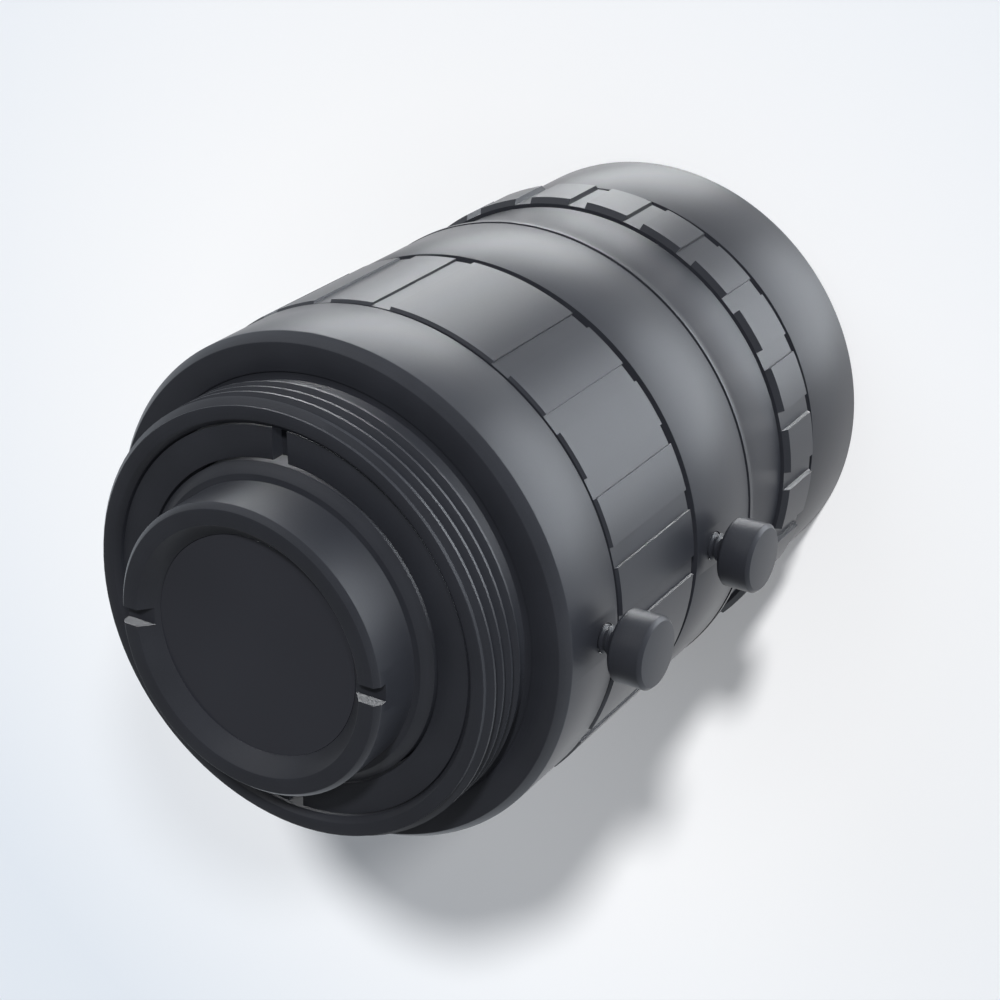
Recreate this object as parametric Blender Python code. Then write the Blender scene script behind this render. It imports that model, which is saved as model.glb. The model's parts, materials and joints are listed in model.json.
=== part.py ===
"""C-mount lens with an iris ring, a focus ring and two lock screws, standing on its front rim.

Metres, +Z up along the lens axis, camera side on top. The lock screws point along +X. The origin lies under
the middle of the whole lens, on the plane of the front rim.
"""
import math

import bmesh
import bpy
from mathutils import Matrix, Vector

# Clearances
TURNING_GAP = 0.0003
SEAT_GAP = 0.00015
LENS_GAP = 0.0002
PIN_GAP = 0.0001
SLIDE_GAP = 0.00015

# How far a cut runs past the wall that it goes through
CUT_SPARE = 0.0005

# Outer shape, front to rear
BODY_RADIUS = 0.01485
FRONT_BARREL_LENGTH = 0.00644
FRONT_BARREL_STEP = 0.00046
FRONT_EDGE = 0.00015
FOCUS_GROOVE_WIDTH = 0.00088
FOCUS_GRIP_LENGTH = 0.0037
FOCUS_GRIP_PROUD = 0.00007
FOCUS_GRIP_CHAMFER = 0.0003
FOCUS_VALLEY_DEPTH = 0.00032
FOCUS_NECK_LENGTH = 0.00397
FOCUS_NECK_STEP = 0.00049
FOCUS_TAPER_LENGTH = 0.00093
FOCUS_COLLAR_LENGTH = 0.00032
PARTING_GAP = 0.00015
SLEEVE_LENGTH = 0.00641
SLEEVE_PROUD = 0.00003
IRIS_FRONT_GAP = 0.00059
IRIS_GRIP_LENGTH = 0.00827
IRIS_GRIP_PROUD = 0.0001
IRIS_VALLEY_DEPTH = 0.00015
IRIS_REAR_GAP = 0.00022
REAR_BAND_LENGTH = 0.00468
FLANGE_CHAMFER_LENGTH = 0.00062
FLANGE_CHAMFER_WIDTH = 0.00044
VALLEY_WIDTH = 0.00117
VALLEY_PITCH = math.radians(15)
FOCUS_VALLEYS = 24
IRIS_VALLEY_GROUPS = 4
IRIS_GROUP_VALLEYS = 5

# Camera thread, 1 inch by 32 turns to the inch, left plain
THREAD_RADIUS = 0.0127
THREAD_LENGTH = 0.00255
THREAD_WALL = 0.0014
RELIEF_LENGTH = 0.00096
RELIEF_DEPTH = 0.00035
RELIEF_UNDERCUT = 0.0001
MOUNT_RIM_LENGTH = 0.00043
MOUNT_RIM_CHAMFER = 0.00037
MOUNT_MOUTH_CHAMFER = 0.0003

# Nested tubes, each wall measured inwards from the tube around it
REAR_BAND_WALL = 0.00095
IRIS_SKIRT_WALL = 0.0007
IRIS_SKIRT_LENGTH = 0.00274
NECK_WALL = 0.0008
SLEEVE_WALL = 0.00098
SLEEVE_WEB = 0.0009
FOCUS_SKIRT_WALL = 0.0007
NOSE_WALL = 0.0007
NOSE_LENGTH = 0.0091
FRONT_TUBE_WALL = 0.0011
FRONT_TUBE_CLEAR = 0.0013
HUB_WALL = 0.0006
HUB_LENGTH = 0.0016

# Focus guide and snap ring
FOCUS_TRAVEL = 0.002
GUIDE_PIN_RADIUS = 0.0006
GUIDE_PIN_DROP = 0.0053
GUIDE_PIN_INSET = 0.0003
SNAP_RING_LENGTH = 0.0008
SNAP_RING_INSET = 0.001
SNAP_NOSE_DEPTH = 0.0003
SNAP_SKIRT_DEPTH = 0.0004
SNAP_RING_SPLIT = math.radians(14)

# Iris
HOUSING_WALL = 0.0004
HOUSING_FLOOR = 0.0008
HOUSING_FLOOR_WIDTH = 0.0049
KEEPER_LENGTH = 0.0005
KEEPER_WIDTH = 0.001
CAM_LENGTH = 0.0015
CAM_WIDTH = 0.003
IRIS_TURN = math.radians(45)
BLADE_COUNT = 6
BLADE_TURN = math.radians(30)
BLADE_THICKNESS = 0.00016
BLADE_PITCH = 0.0003
BLADE_WIDTH = 0.0022
BLADE_OVERLAP = 0.0002
BLADE_SWEEP = math.radians(128)
BLADE_HEAD_RADIUS = 0.00075
BLADE_TAIL_RADIUS = 0.00065
BLADE_PIN_RADIUS = 0.00035
PIVOT_INSET = 0.0017
TAIL_REACH = 0.0016
TAIL_INSET = 0.0002
DRIVE_PIN_RADIUS = 0.00045
DRIVE_PIN_GRIP = 0.0009

# Rear cell and its glasses, each radius measured inwards from the bore of the thread barrel
REAR_RING_WALL = 0.0018
REAR_CELL_PROJECTION = 0.003355
REAR_EDGE_LENGTH = 0.000305
REAR_EDGE_WIDTH = 0.000275
REAR_RIM_LAND = 0.00089
REAR_MOUTH_DEPTH = 0.000935
REAR_CONE_WIDTH = 0.00086
REAR_LAND = 0.00008
REAR_CELL_WALL = 0.001015
REAR_CELL_THREAD_WALL = 0.000715
REAR_CELL_FRONT_CLEAR = 0.0011
COLLAR_RISE = 0.00012
COLLAR_FACE = 0.000365
COLLAR_CHAMFER_WIDTH = 0.00057
COLLAR_CHAMFER_LENGTH = 0.00045
CELL_FLANGE_CLEAR = 0.0005
CELL_FLANGE_LENGTH = 0.0007
CELL_SLOT_WIDTH = 0.001
CELL_SLOT_DEPTH = 0.0007
REAR_RING_SINK = 0.00037
REAR_RING_LENGTH = 0.00155
REAR_RING_SLOT_WIDTH = 0.00095
REAR_RING_SLOT_DEPTH = 0.0008
REAR_LENS_RIM = 0.00195
REAR_LENS_BULGE = 0.0006
REAR_SPACER_LENGTH = 0.0028
FOURTH_LENS_RIM = 0.0024
FOURTH_LENS_BULGE = 0.0009
CELL_RETAINER_LENGTH = 0.0018
SPACER_WALL = 0.0009

# Front barrel and its glasses
RIM_WALL = 0.00099
RIM_MOUTH_CHAMFER = 0.00025
FRONT_SEAT_LENGTH = 0.001
FRONT_SEAT_WIDTH = 0.0019
THIRD_LENS_RIM = 0.0024
THIRD_LENS_BULGE = 0.0007
INNER_SPACER_LENGTH = 0.003
SECOND_LENS_RIM = 0.0015
SECOND_LENS_BULGE = 0.0008
FRONT_SPACER_LENGTH = 0.0026
FRONT_LENS_RIM = 0.0031
FRONT_LENS_BULGE = 0.0014
FRONT_RING_LENGTH = 0.0016
FRONT_RING_STEP = 0.0009
FRONT_RING_WIDTH = 0.0015
FRONT_RING_CONE = 0.0007
FRONT_RING_SLOT_WIDTH = 0.001
FRONT_RING_SLOT_DEPTH = 0.0006
FRONT_RING_SINK = 0.0003

# Lock screws
LOCK_HEAD_RADIUS = 0.002
LOCK_HEAD_LENGTH = 0.00202
LOCK_HEAD_STANDOFF = 0.0011
LOCK_HEAD_BREAK = 0.00015
LOCK_SHANK_RADIUS = 0.0008
LOCK_PAD_LENGTH = 0.0003
LOCK_HOLE_GAP = 0.0002
IRIS_LOCK_OFFSET = 0.00133
FOCUS_LOCK_OFFSET = 0.00205

# Faces round a turned piece
OUTER_STEPS = 48
INNER_STEPS = 28
PIN_STEPS = 10

# Stations along the axis, from the front rim upwards
Z_BARREL_REAR = FRONT_BARREL_LENGTH
Z_FOCUS_FRONT = Z_BARREL_REAR + FOCUS_GROOVE_WIDTH
Z_FOCUS_GRIP_REAR = Z_FOCUS_FRONT + FOCUS_GRIP_LENGTH
Z_FOCUS_TAPER = Z_FOCUS_GRIP_REAR + FOCUS_NECK_LENGTH
Z_FOCUS_COLLAR = Z_FOCUS_TAPER + FOCUS_TAPER_LENGTH
Z_FOCUS_REAR = Z_FOCUS_COLLAR + FOCUS_COLLAR_LENGTH
Z_SLEEVE_FRONT = Z_FOCUS_REAR + PARTING_GAP
Z_SLEEVE_REAR = Z_SLEEVE_FRONT + SLEEVE_LENGTH
Z_IRIS_FRONT = Z_SLEEVE_REAR + IRIS_FRONT_GAP
Z_IRIS_REAR = Z_IRIS_FRONT + IRIS_GRIP_LENGTH
Z_BAND_FRONT = Z_IRIS_REAR + IRIS_REAR_GAP
Z_BAND_REAR = Z_BAND_FRONT + REAR_BAND_LENGTH
Z_FLANGE = Z_BAND_REAR + FLANGE_CHAMFER_LENGTH
Z_THREAD_FRONT = Z_FLANGE + RELIEF_LENGTH
Z_THREAD_REAR = Z_THREAD_FRONT + THREAD_LENGTH
Z_MOUNT_REAR = Z_THREAD_REAR + MOUNT_RIM_LENGTH
Z_WEB = Z_SLEEVE_REAR - SLEEVE_WEB
Z_NOSE_FRONT = Z_WEB - NOSE_LENGTH
Z_SKIRT_REAR = Z_WEB - TURNING_GAP
Z_IRIS_SKIRT_REAR = Z_IRIS_REAR + IRIS_SKIRT_LENGTH
Z_HUB_REAR = Z_SLEEVE_REAR + HUB_LENGTH

# Radii of the nested tubes
POCKET_RADIUS = BODY_RADIUS - REAR_BAND_WALL
IRIS_SKIRT_RADIUS = POCKET_RADIUS - TURNING_GAP
IRIS_BORE_RADIUS = IRIS_SKIRT_RADIUS - IRIS_SKIRT_WALL
NECK_RADIUS = IRIS_BORE_RADIUS - TURNING_GAP
NECK_BORE_RADIUS = NECK_RADIUS - NECK_WALL
SLEEVE_RADIUS = BODY_RADIUS + SLEEVE_PROUD
SLEEVE_BORE_RADIUS = SLEEVE_RADIUS - SLEEVE_WALL
FOCUS_SKIRT_RADIUS = SLEEVE_BORE_RADIUS - TURNING_GAP
FOCUS_BORE_RADIUS = FOCUS_SKIRT_RADIUS - FOCUS_SKIRT_WALL
NOSE_RADIUS = FOCUS_BORE_RADIUS - TURNING_GAP
NOSE_BORE_RADIUS = NOSE_RADIUS - NOSE_WALL
FRONT_TUBE_RADIUS = NOSE_BORE_RADIUS - TURNING_GAP
FRONT_BORE_RADIUS = FRONT_TUBE_RADIUS - FRONT_TUBE_WALL
HUB_RADIUS = NECK_BORE_RADIUS - TURNING_GAP
HOUSING_RADIUS = NECK_BORE_RADIUS - TURNING_GAP
HOUSING_BORE_RADIUS = HOUSING_RADIUS - HOUSING_WALL
MOUNT_BORE_RADIUS = THREAD_RADIUS - THREAD_WALL
FOCUS_GRIP_RADIUS = BODY_RADIUS + FOCUS_GRIP_PROUD
IRIS_GRIP_RADIUS = BODY_RADIUS + IRIS_GRIP_PROUD
FRONT_BARREL_RADIUS = BODY_RADIUS - FRONT_BARREL_STEP

# Iris stack, front to rear
Z_HOUSING_FRONT = Z_HUB_REAR + TURNING_GAP
Z_KEEPER_FRONT = Z_HOUSING_FRONT + LENS_GAP
Z_CAM_FRONT = Z_KEEPER_FRONT + KEEPER_LENGTH + LENS_GAP
Z_CAM_REAR = Z_CAM_FRONT + CAM_LENGTH
Z_BLADES_FRONT = Z_CAM_REAR + TURNING_GAP
Z_FLOOR = Z_BLADES_FRONT + BLADE_PITCH * (BLADE_COUNT - 1) + BLADE_THICKNESS + SLIDE_GAP
Z_HOUSING_REAR = Z_FLOOR + HOUSING_FLOOR
Z_SHOULDER = Z_HOUSING_REAR + SEAT_GAP
APERTURE_RADIUS = HOUSING_BORE_RADIUS - HOUSING_FLOOR_WIDTH
PIVOT_RADIUS = HOUSING_BORE_RADIUS - PIVOT_INSET
CAM_RADIUS = HOUSING_BORE_RADIUS - SLIDE_GAP

# Rear cell, rear to front
Z_CELL_REAR = Z_MOUNT_REAR + REAR_CELL_PROJECTION
Z_CELL_FRONT = Z_SHOULDER + REAR_CELL_FRONT_CLEAR
Z_COLLAR_FACE = Z_MOUNT_REAR + COLLAR_RISE
Z_REAR_RING = Z_MOUNT_REAR - REAR_RING_SINK
Z_CELL_FLANGE = Z_REAR_RING - REAR_RING_LENGTH - SEAT_GAP
Z_MOUNT_SEAT = Z_CELL_FLANGE - CELL_FLANGE_LENGTH - SEAT_GAP
REAR_RING_RADIUS = MOUNT_BORE_RADIUS - PIN_GAP
REAR_RING_BORE_RADIUS = REAR_RING_RADIUS - REAR_RING_WALL
CELL_FLANGE_RADIUS = MOUNT_BORE_RADIUS - CELL_FLANGE_CLEAR
COLLAR_RADIUS = REAR_RING_BORE_RADIUS - SEAT_GAP
REAR_TUBE_RADIUS = COLLAR_RADIUS - COLLAR_CHAMFER_WIDTH - COLLAR_FACE
REAR_MOUTH_RADIUS = REAR_TUBE_RADIUS - REAR_EDGE_WIDTH - REAR_RIM_LAND
REAR_WINDOW_RADIUS = REAR_MOUTH_RADIUS - REAR_CONE_WIDTH
CELL_BORE_RADIUS = REAR_TUBE_RADIUS - REAR_CELL_WALL
CELL_THREAD_RADIUS = REAR_TUBE_RADIUS - REAR_CELL_THREAD_WALL
REAR_LENS_RADIUS = CELL_BORE_RADIUS - LENS_GAP
Z_WINDOW = Z_CELL_REAR - REAR_MOUTH_DEPTH
Z_CELL_SEAT = Z_WINDOW - REAR_LAND - (CELL_BORE_RADIUS - REAR_WINDOW_RADIUS)
Z_REAR_LENS_BEVEL = Z_CELL_SEAT + CELL_BORE_RADIUS - REAR_LENS_RADIUS - TURNING_GAP
Z_REAR_LENS_FRONT = Z_REAR_LENS_BEVEL - REAR_LENS_RIM
Z_REAR_SPACER_FRONT = Z_REAR_LENS_FRONT - SEAT_GAP - REAR_SPACER_LENGTH
Z_FOURTH_REAR = Z_REAR_SPACER_FRONT - SEAT_GAP
Z_FOURTH_FRONT = Z_FOURTH_REAR - FOURTH_LENS_RIM

# Focus guide
Z_GUIDE_PIN = Z_WEB - GUIDE_PIN_DROP
Z_GUIDE_SLOT_FRONT = Z_GUIDE_PIN - GUIDE_PIN_RADIUS - TURNING_GAP
Z_GUIDE_SLOT_REAR = Z_GUIDE_PIN + GUIDE_PIN_RADIUS + TURNING_GAP + FOCUS_TRAVEL

# Front glasses, rear to front
Z_TUBE_REAR = Z_WEB - FRONT_TUBE_CLEAR
Z_FRONT_SEAT = Z_TUBE_REAR - FRONT_SEAT_LENGTH
Z_THIRD_REAR = Z_FRONT_SEAT - SEAT_GAP
Z_THIRD_FRONT = Z_THIRD_REAR - THIRD_LENS_RIM
Z_INNER_SPACER_REAR = Z_THIRD_FRONT - SEAT_GAP
Z_SECOND_REAR = Z_INNER_SPACER_REAR - INNER_SPACER_LENGTH - SEAT_GAP
Z_SECOND_FRONT = Z_SECOND_REAR - SECOND_LENS_RIM
Z_FRONT_SPACER_REAR = Z_SECOND_FRONT - SEAT_GAP
Z_FRONT_LENS_REAR = Z_FRONT_SPACER_REAR - FRONT_SPACER_LENGTH - SEAT_GAP
Z_FRONT_LENS_FRONT = Z_FRONT_LENS_REAR - FRONT_LENS_RIM
Z_FRONT_RING_REAR = Z_FRONT_LENS_FRONT - SEAT_GAP
Z_FRONT_RING_FRONT = Z_FRONT_RING_REAR - FRONT_RING_LENGTH
Z_RECESS = Z_FRONT_RING_FRONT - FRONT_RING_SINK
FRONT_LENS_RADIUS = FRONT_BORE_RADIUS - LENS_GAP
FRONT_RING_BORE_RADIUS = FRONT_BORE_RADIUS + FRONT_RING_STEP

# Lock screws, outwards from the axis
Z_IRIS_LOCK = Z_BAND_FRONT + IRIS_LOCK_OFFSET
Z_FOCUS_LOCK = Z_SLEEVE_REAR - FOCUS_LOCK_OFFSET
LOCK_HEAD_START = BODY_RADIUS + LOCK_HEAD_STANDOFF
LOCK_HEAD_END = LOCK_HEAD_START + LOCK_HEAD_LENGTH
AXIS_X = -(LOCK_HEAD_END - IRIS_GRIP_RADIUS) / 2


def material(name, color, roughness, metallic, transmission=0.0):
    made = bpy.data.materials.new(name)
    made.use_nodes = True
    shader = made.node_tree.nodes["Principled BSDF"]
    shader.inputs["Base Color"].default_value = (*color, 1)
    shader.inputs["Roughness"].default_value = roughness
    shader.inputs["Metallic"].default_value = metallic
    shader.inputs["Transmission Weight"].default_value = transmission
    return made


def place(name, bm, surface, parent, location=(0, 0, 0)):
    """Makes a bmesh an object, smooth over its round faces, with its origin at the given place."""
    mesh = bpy.data.meshes.new(name)
    bmesh.ops.recalc_face_normals(bm, faces=bm.faces)
    bm.to_mesh(mesh)
    bm.free()
    mesh.shade_smooth()
    mesh.set_sharp_from_angle(angle=math.radians(30))
    made = bpy.data.objects.new(name, mesh)
    bpy.context.collection.objects.link(made)
    made.parent = parent
    made.location = location
    if surface:
        mesh.materials.append(surface)
    return made


def turned(profile, steps, sweep=math.tau, start=None):
    """Spins a closed (radius, height) outline about Z, with a flat face towards +X."""
    bm = bmesh.new()
    if start is None:
        start = -math.pi / steps
    turn = Matrix.Rotation(start, 3, "Z")
    verts = [bm.verts.new(turn @ Vector((r, 0, z))) for r, z in profile]
    edges = [bm.edges.new(pair) for pair in zip(verts, verts[1:] + verts[:1])]
    full = sweep == math.tau
    face = None if full else bm.faces.new(verts)
    bmesh.ops.spin(bm, geom=[face] if face else verts + edges, axis=(0, 0, 1), cent=(0, 0, 0), angle=sweep,
                   steps=steps, use_merge=full, use_duplicate=False)
    return bm


def lathed(profile, steps):
    """Spins an open outline that starts and ends on the axis, which gives a solid disc."""
    bm = bmesh.new()
    turn = Matrix.Rotation(-math.pi / steps, 3, "Z")
    verts = [bm.verts.new(turn @ Vector((r, 0, z))) for r, z in profile]
    edges = [bm.edges.new(pair) for pair in zip(verts, verts[1:])]
    bmesh.ops.spin(bm, geom=verts + edges, axis=(0, 0, 1), cent=(0, 0, 0), angle=math.tau, steps=steps,
                   use_merge=True, use_duplicate=False)
    bmesh.ops.remove_doubles(bm, verts=bm.verts, dist=1e-6)
    return bm


def rod(radius, start, end):
    """A round bar along +X from start to end."""
    bm = lathed([(0, start), (radius, start), (radius, end), (0, end)], PIN_STEPS)
    bmesh.ops.rotate(bm, verts=bm.verts, cent=(0, 0, 0), matrix=Matrix.Rotation(math.pi / 2, 3, "Y"))
    return bm


def block(size, center, turn=0.0):
    """A box of the given size, centred at a point, then turned about the lens axis."""
    bm = bmesh.new()
    bmesh.ops.create_cube(bm, size=1)
    bmesh.ops.scale(bm, verts=bm.verts, vec=size)
    bmesh.ops.translate(bm, verts=bm.verts, vec=center)
    bmesh.ops.rotate(bm, verts=bm.verts, cent=(0, 0, 0), matrix=Matrix.Rotation(turn, 3, "Z"))
    return bm


def joined(pieces):
    """Puts several bmeshes into one."""
    whole = bmesh.new()
    for piece in pieces:
        mesh = bpy.data.meshes.new("piece")
        piece.to_mesh(mesh)
        piece.free()
        whole.from_mesh(mesh)
        bpy.data.meshes.remove(mesh)
    return whole


def combine(target, tool_bm, name, operation="DIFFERENCE"):
    """Adds a Boolean to an object. The tool shares the object's origin and stays hidden."""
    tool = place(name, tool_bm, None, target.parent, target.location)
    tool.rotation_euler = target.rotation_euler
    tool.hide_render = True
    tool.display_type = "WIRE"
    modifier = target.modifiers.new(name, "BOOLEAN")
    modifier.operation = operation
    modifier.solver = "EXACT"
    modifier.object = tool


def arc(radius, start, end, count, center=(0, 0)):
    """Points on an arc about a centre, both ends included."""
    angles = [start + (end - start) * i / count for i in range(count + 1)]
    return [(center[0] + radius * math.cos(a), center[1] + radius * math.sin(a)) for a in angles]


def plate(outline, low, high):
    """Extrudes a flat outline from one height to another."""
    bm = bmesh.new()
    face = bm.faces.new([bm.verts.new((x, y, low)) for x, y in outline])
    raised = bmesh.ops.extrude_face_region(bm, geom=[face])
    moved = [item for item in raised["geom"] if isinstance(item, bmesh.types.BMVert)]
    bmesh.ops.translate(bm, verts=moved, vec=(0, 0, high - low))
    return bm


def cap(radius, edge_z, bulge, count=2):
    """Points of a bulged lens face from its edge to the axis."""
    steps = [radius * (1 - i / count) for i in range(count + 1)]
    return [(r, edge_z + bulge * (1 - (r / radius) ** 2)) for r in steps]


def grip_cutter(floor_radius, low, high, turns):
    """Straight valleys along a grip band, one at each of the given angles."""
    size = (2 * CUT_SPARE, VALLEY_WIDTH, high - low + 2 * CUT_SPARE)
    center = (floor_radius + CUT_SPARE, 0, (low + high) / 2)
    return joined([block(size, center, turn) for turn in turns])


def slot_pair(width, depth, inner, outer, top, turn=0.0):
    """Two opposite spanner slots across a flat ring, sunk into its face at a height."""
    size = (outer - inner + 2 * CUT_SPARE, width, 2 * depth)
    middle = (inner + outer) / 2
    return joined([block(size, (middle, 0, top), turn), block(size, (middle, 0, top), turn + math.pi)])


def mount_barrel(surface, axis):
    """Camera thread, flange, rear band and the long neck that the iris ring turns on."""
    thread_foot = THREAD_RADIUS - RELIEF_DEPTH
    undercut = THREAD_RADIUS + RELIEF_UNDERCUT
    cell_bore = REAR_TUBE_RADIUS + TURNING_GAP
    barrel = place("mount_barrel", turned([
        (THREAD_RADIUS - MOUNT_RIM_CHAMFER, Z_MOUNT_REAR),
        (THREAD_RADIUS, Z_THREAD_REAR),
        (THREAD_RADIUS, Z_THREAD_FRONT),
        (thread_foot, Z_THREAD_FRONT),
        (thread_foot, Z_FLANGE - RELIEF_UNDERCUT),
        (undercut, Z_FLANGE - RELIEF_UNDERCUT),
        (undercut, Z_FLANGE),
        (BODY_RADIUS - FLANGE_CHAMFER_WIDTH, Z_FLANGE),
        (BODY_RADIUS, Z_BAND_REAR),
        (BODY_RADIUS, Z_BAND_FRONT),
        (POCKET_RADIUS, Z_BAND_FRONT),
        (POCKET_RADIUS, Z_IRIS_SKIRT_REAR + TURNING_GAP),
        (NECK_RADIUS, Z_IRIS_SKIRT_REAR + TURNING_GAP),
        (NECK_RADIUS, Z_SLEEVE_REAR + TURNING_GAP),
        (NECK_BORE_RADIUS, Z_SLEEVE_REAR + TURNING_GAP),
        (NECK_BORE_RADIUS, Z_SHOULDER),
        (cell_bore, Z_SHOULDER),
        (cell_bore, Z_MOUNT_SEAT),
        (MOUNT_BORE_RADIUS, Z_MOUNT_SEAT),
        (MOUNT_BORE_RADIUS, Z_MOUNT_REAR - MOUNT_MOUTH_CHAMFER),
        (MOUNT_BORE_RADIUS + MOUNT_MOUTH_CHAMFER, Z_MOUNT_REAR),
    ], OUTER_STEPS), surface, axis)
    hole = rod(LOCK_SHANK_RADIUS + LOCK_HOLE_GAP, POCKET_RADIUS - CUT_SPARE, BODY_RADIUS + CUT_SPARE)
    bmesh.ops.translate(hole, verts=hole.verts, vec=(0, 0, Z_IRIS_LOCK))
    combine(barrel, hole, "iris_lock_hole")
    combine(barrel, drive_pin_slot(NECK_BORE_RADIUS, NECK_RADIUS), "neck_slot")


def drive_pin_angle():
    """Angle of the iris drive pin at rest, in the middle of the web between two cam slots."""
    first = pin_path(0)
    last = pin_path(1)
    middle = (math.atan2(first[1], first[0]) + math.atan2(last[1], last[0])) / 2
    return middle + math.pi / BLADE_COUNT + 2 * math.tau / BLADE_COUNT


def drive_pin_slot(inner, outer):
    """Slot across a tube wall for the swing of the iris drive pin."""
    half = DRIVE_PIN_RADIUS + SLIDE_GAP
    middle = (Z_CAM_FRONT + Z_CAM_REAR) / 2
    spare = (half + SLIDE_GAP) / inner
    low = inner - SLIDE_GAP
    high = outer + SLIDE_GAP
    profile = [(high, middle + half), (high, middle - half), (low, middle - half), (low, middle + half)]
    return turned(profile, 8, IRIS_TURN + 2 * spare, drive_pin_angle() - spare)


def rear_retaining_ring(surface, axis):
    """Flat threaded ring that holds the rear cell by its flange."""
    band = tube(REAR_RING_BORE_RADIUS, REAR_RING_RADIUS, Z_REAR_RING - REAR_RING_LENGTH, Z_REAR_RING)
    ring = place("rear_retaining_ring", band, surface, axis)
    slots = slot_pair(REAR_RING_SLOT_WIDTH, REAR_RING_SLOT_DEPTH, REAR_RING_BORE_RADIUS, REAR_RING_RADIUS,
                      Z_REAR_RING, math.pi / 2)
    combine(ring, slots, "rear_ring_slots")


def rear_cell(surface, axis):
    """Rear lens tube with its collar, its flange, a coned mouth and a conical seat for the rear glass."""
    cell = place("rear_cell", turned([
        (REAR_TUBE_RADIUS - REAR_EDGE_WIDTH, Z_CELL_REAR),
        (REAR_TUBE_RADIUS, Z_CELL_REAR - REAR_EDGE_LENGTH),
        (REAR_TUBE_RADIUS, Z_COLLAR_FACE),
        (REAR_TUBE_RADIUS + COLLAR_FACE, Z_COLLAR_FACE),
        (COLLAR_RADIUS, Z_COLLAR_FACE - COLLAR_CHAMFER_LENGTH),
        (COLLAR_RADIUS, Z_CELL_FLANGE),
        (CELL_FLANGE_RADIUS, Z_CELL_FLANGE),
        (CELL_FLANGE_RADIUS, Z_CELL_FLANGE - CELL_FLANGE_LENGTH),
        (REAR_TUBE_RADIUS, Z_CELL_FLANGE - CELL_FLANGE_LENGTH),
        (REAR_TUBE_RADIUS, Z_CELL_FRONT),
        (CELL_THREAD_RADIUS, Z_CELL_FRONT),
        (CELL_THREAD_RADIUS, Z_FOURTH_FRONT),
        (CELL_BORE_RADIUS, Z_FOURTH_FRONT),
        (CELL_BORE_RADIUS, Z_CELL_SEAT),
        (REAR_WINDOW_RADIUS, Z_WINDOW - REAR_LAND),
        (REAR_WINDOW_RADIUS, Z_WINDOW),
        (REAR_MOUTH_RADIUS, Z_CELL_REAR),
    ], INNER_STEPS), surface, axis)
    slots = slot_pair(CELL_SLOT_WIDTH, CELL_SLOT_DEPTH, REAR_WINDOW_RADIUS, REAR_TUBE_RADIUS, Z_CELL_REAR)
    combine(cell, slots, "rear_cell_slots")


def rear_group(glass, black, axis):
    """Two glasses, the spacer between them and their retaining ring, inside the rear cell."""
    flat = REAR_WINDOW_RADIUS - LENS_GAP
    shoulder = Z_REAR_LENS_BEVEL + REAR_LENS_RADIUS - flat
    clear = REAR_LENS_RADIUS - SPACER_WALL
    place("rear_lens", lathed([
        (0, Z_WINDOW), (flat, Z_WINDOW), (flat, shoulder), (REAR_LENS_RADIUS, Z_REAR_LENS_BEVEL),
        (REAR_LENS_RADIUS, Z_REAR_LENS_FRONT),
    ] + cap(clear, Z_REAR_LENS_FRONT, -REAR_LENS_BULGE), INNER_STEPS), glass, axis)
    high = Z_REAR_LENS_FRONT - SEAT_GAP
    place("rear_spacer", tube(clear, REAR_LENS_RADIUS, Z_REAR_SPACER_FRONT, high), black, axis)
    rear_face = cap(clear, Z_FOURTH_REAR, -FOURTH_LENS_BULGE)[::-1]
    place("fourth_lens", lathed(rear_face + [
        (REAR_LENS_RADIUS, Z_FOURTH_REAR), (REAR_LENS_RADIUS, Z_FOURTH_FRONT),
    ] + cap(clear, Z_FOURTH_FRONT, -FOURTH_LENS_BULGE), INNER_STEPS), glass, axis)
    high = Z_FOURTH_FRONT - SEAT_GAP
    place("rear_cell_retainer", tube(clear, CELL_THREAD_RADIUS - SEAT_GAP, high - CELL_RETAINER_LENGTH,
                                     high), black, axis)


def tube(inner, outer, low, high, steps=INNER_STEPS):
    return turned([(outer, high), (outer, low), (inner, low), (inner, high)], steps)


def pin_path(share):
    """Centre of a blade's drive pin as the cam ring sees it, at a share of the iris ring's turn."""
    swing = BLADE_TURN * share
    arm = Matrix.Rotation(swing, 2) @ Vector((-TAIL_INSET, -TAIL_REACH))
    point = Matrix.Rotation(-IRIS_TURN * share, 2) @ (Vector((PIVOT_RADIUS, 0)) + arm)
    return point.x, point.y


def cam_slot(turn):
    """One curved slot of the cam ring: the path of a drive pin, widened by the pin and its clearance."""
    half = BLADE_PIN_RADIUS + SLIDE_GAP
    count = 6
    path = [Vector(pin_path(i / count)) for i in range(count + 1)]
    ways = [(path[min(i + 1, count)] - path[max(i - 1, 0)]).normalized() for i in range(count + 1)]
    left = [p + half * Vector((-w.y, w.x)) for p, w in zip(path, ways)]
    right = [p - half * Vector((-w.y, w.x)) for p, w in zip(path, ways)]
    end = math.atan2(ways[-1].y, ways[-1].x)
    start = math.atan2(ways[0].y, ways[0].x)
    far = arc(half, end - math.pi / 2, end + math.pi / 2, 4, path[-1])[1:-1]
    near = arc(half, start + math.pi / 2, start + 3 * math.pi / 2, 4, path[0])[1:-1]
    outline = [tuple(p) for p in right] + far + [tuple(p) for p in reversed(left)] + near
    slot = plate(outline, Z_CAM_FRONT - SEAT_GAP, Z_CAM_REAR + SEAT_GAP)
    bmesh.ops.rotate(slot, verts=slot.verts, cent=(0, 0, 0), matrix=Matrix.Rotation(turn, 3, "Z"))
    return slot


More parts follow.
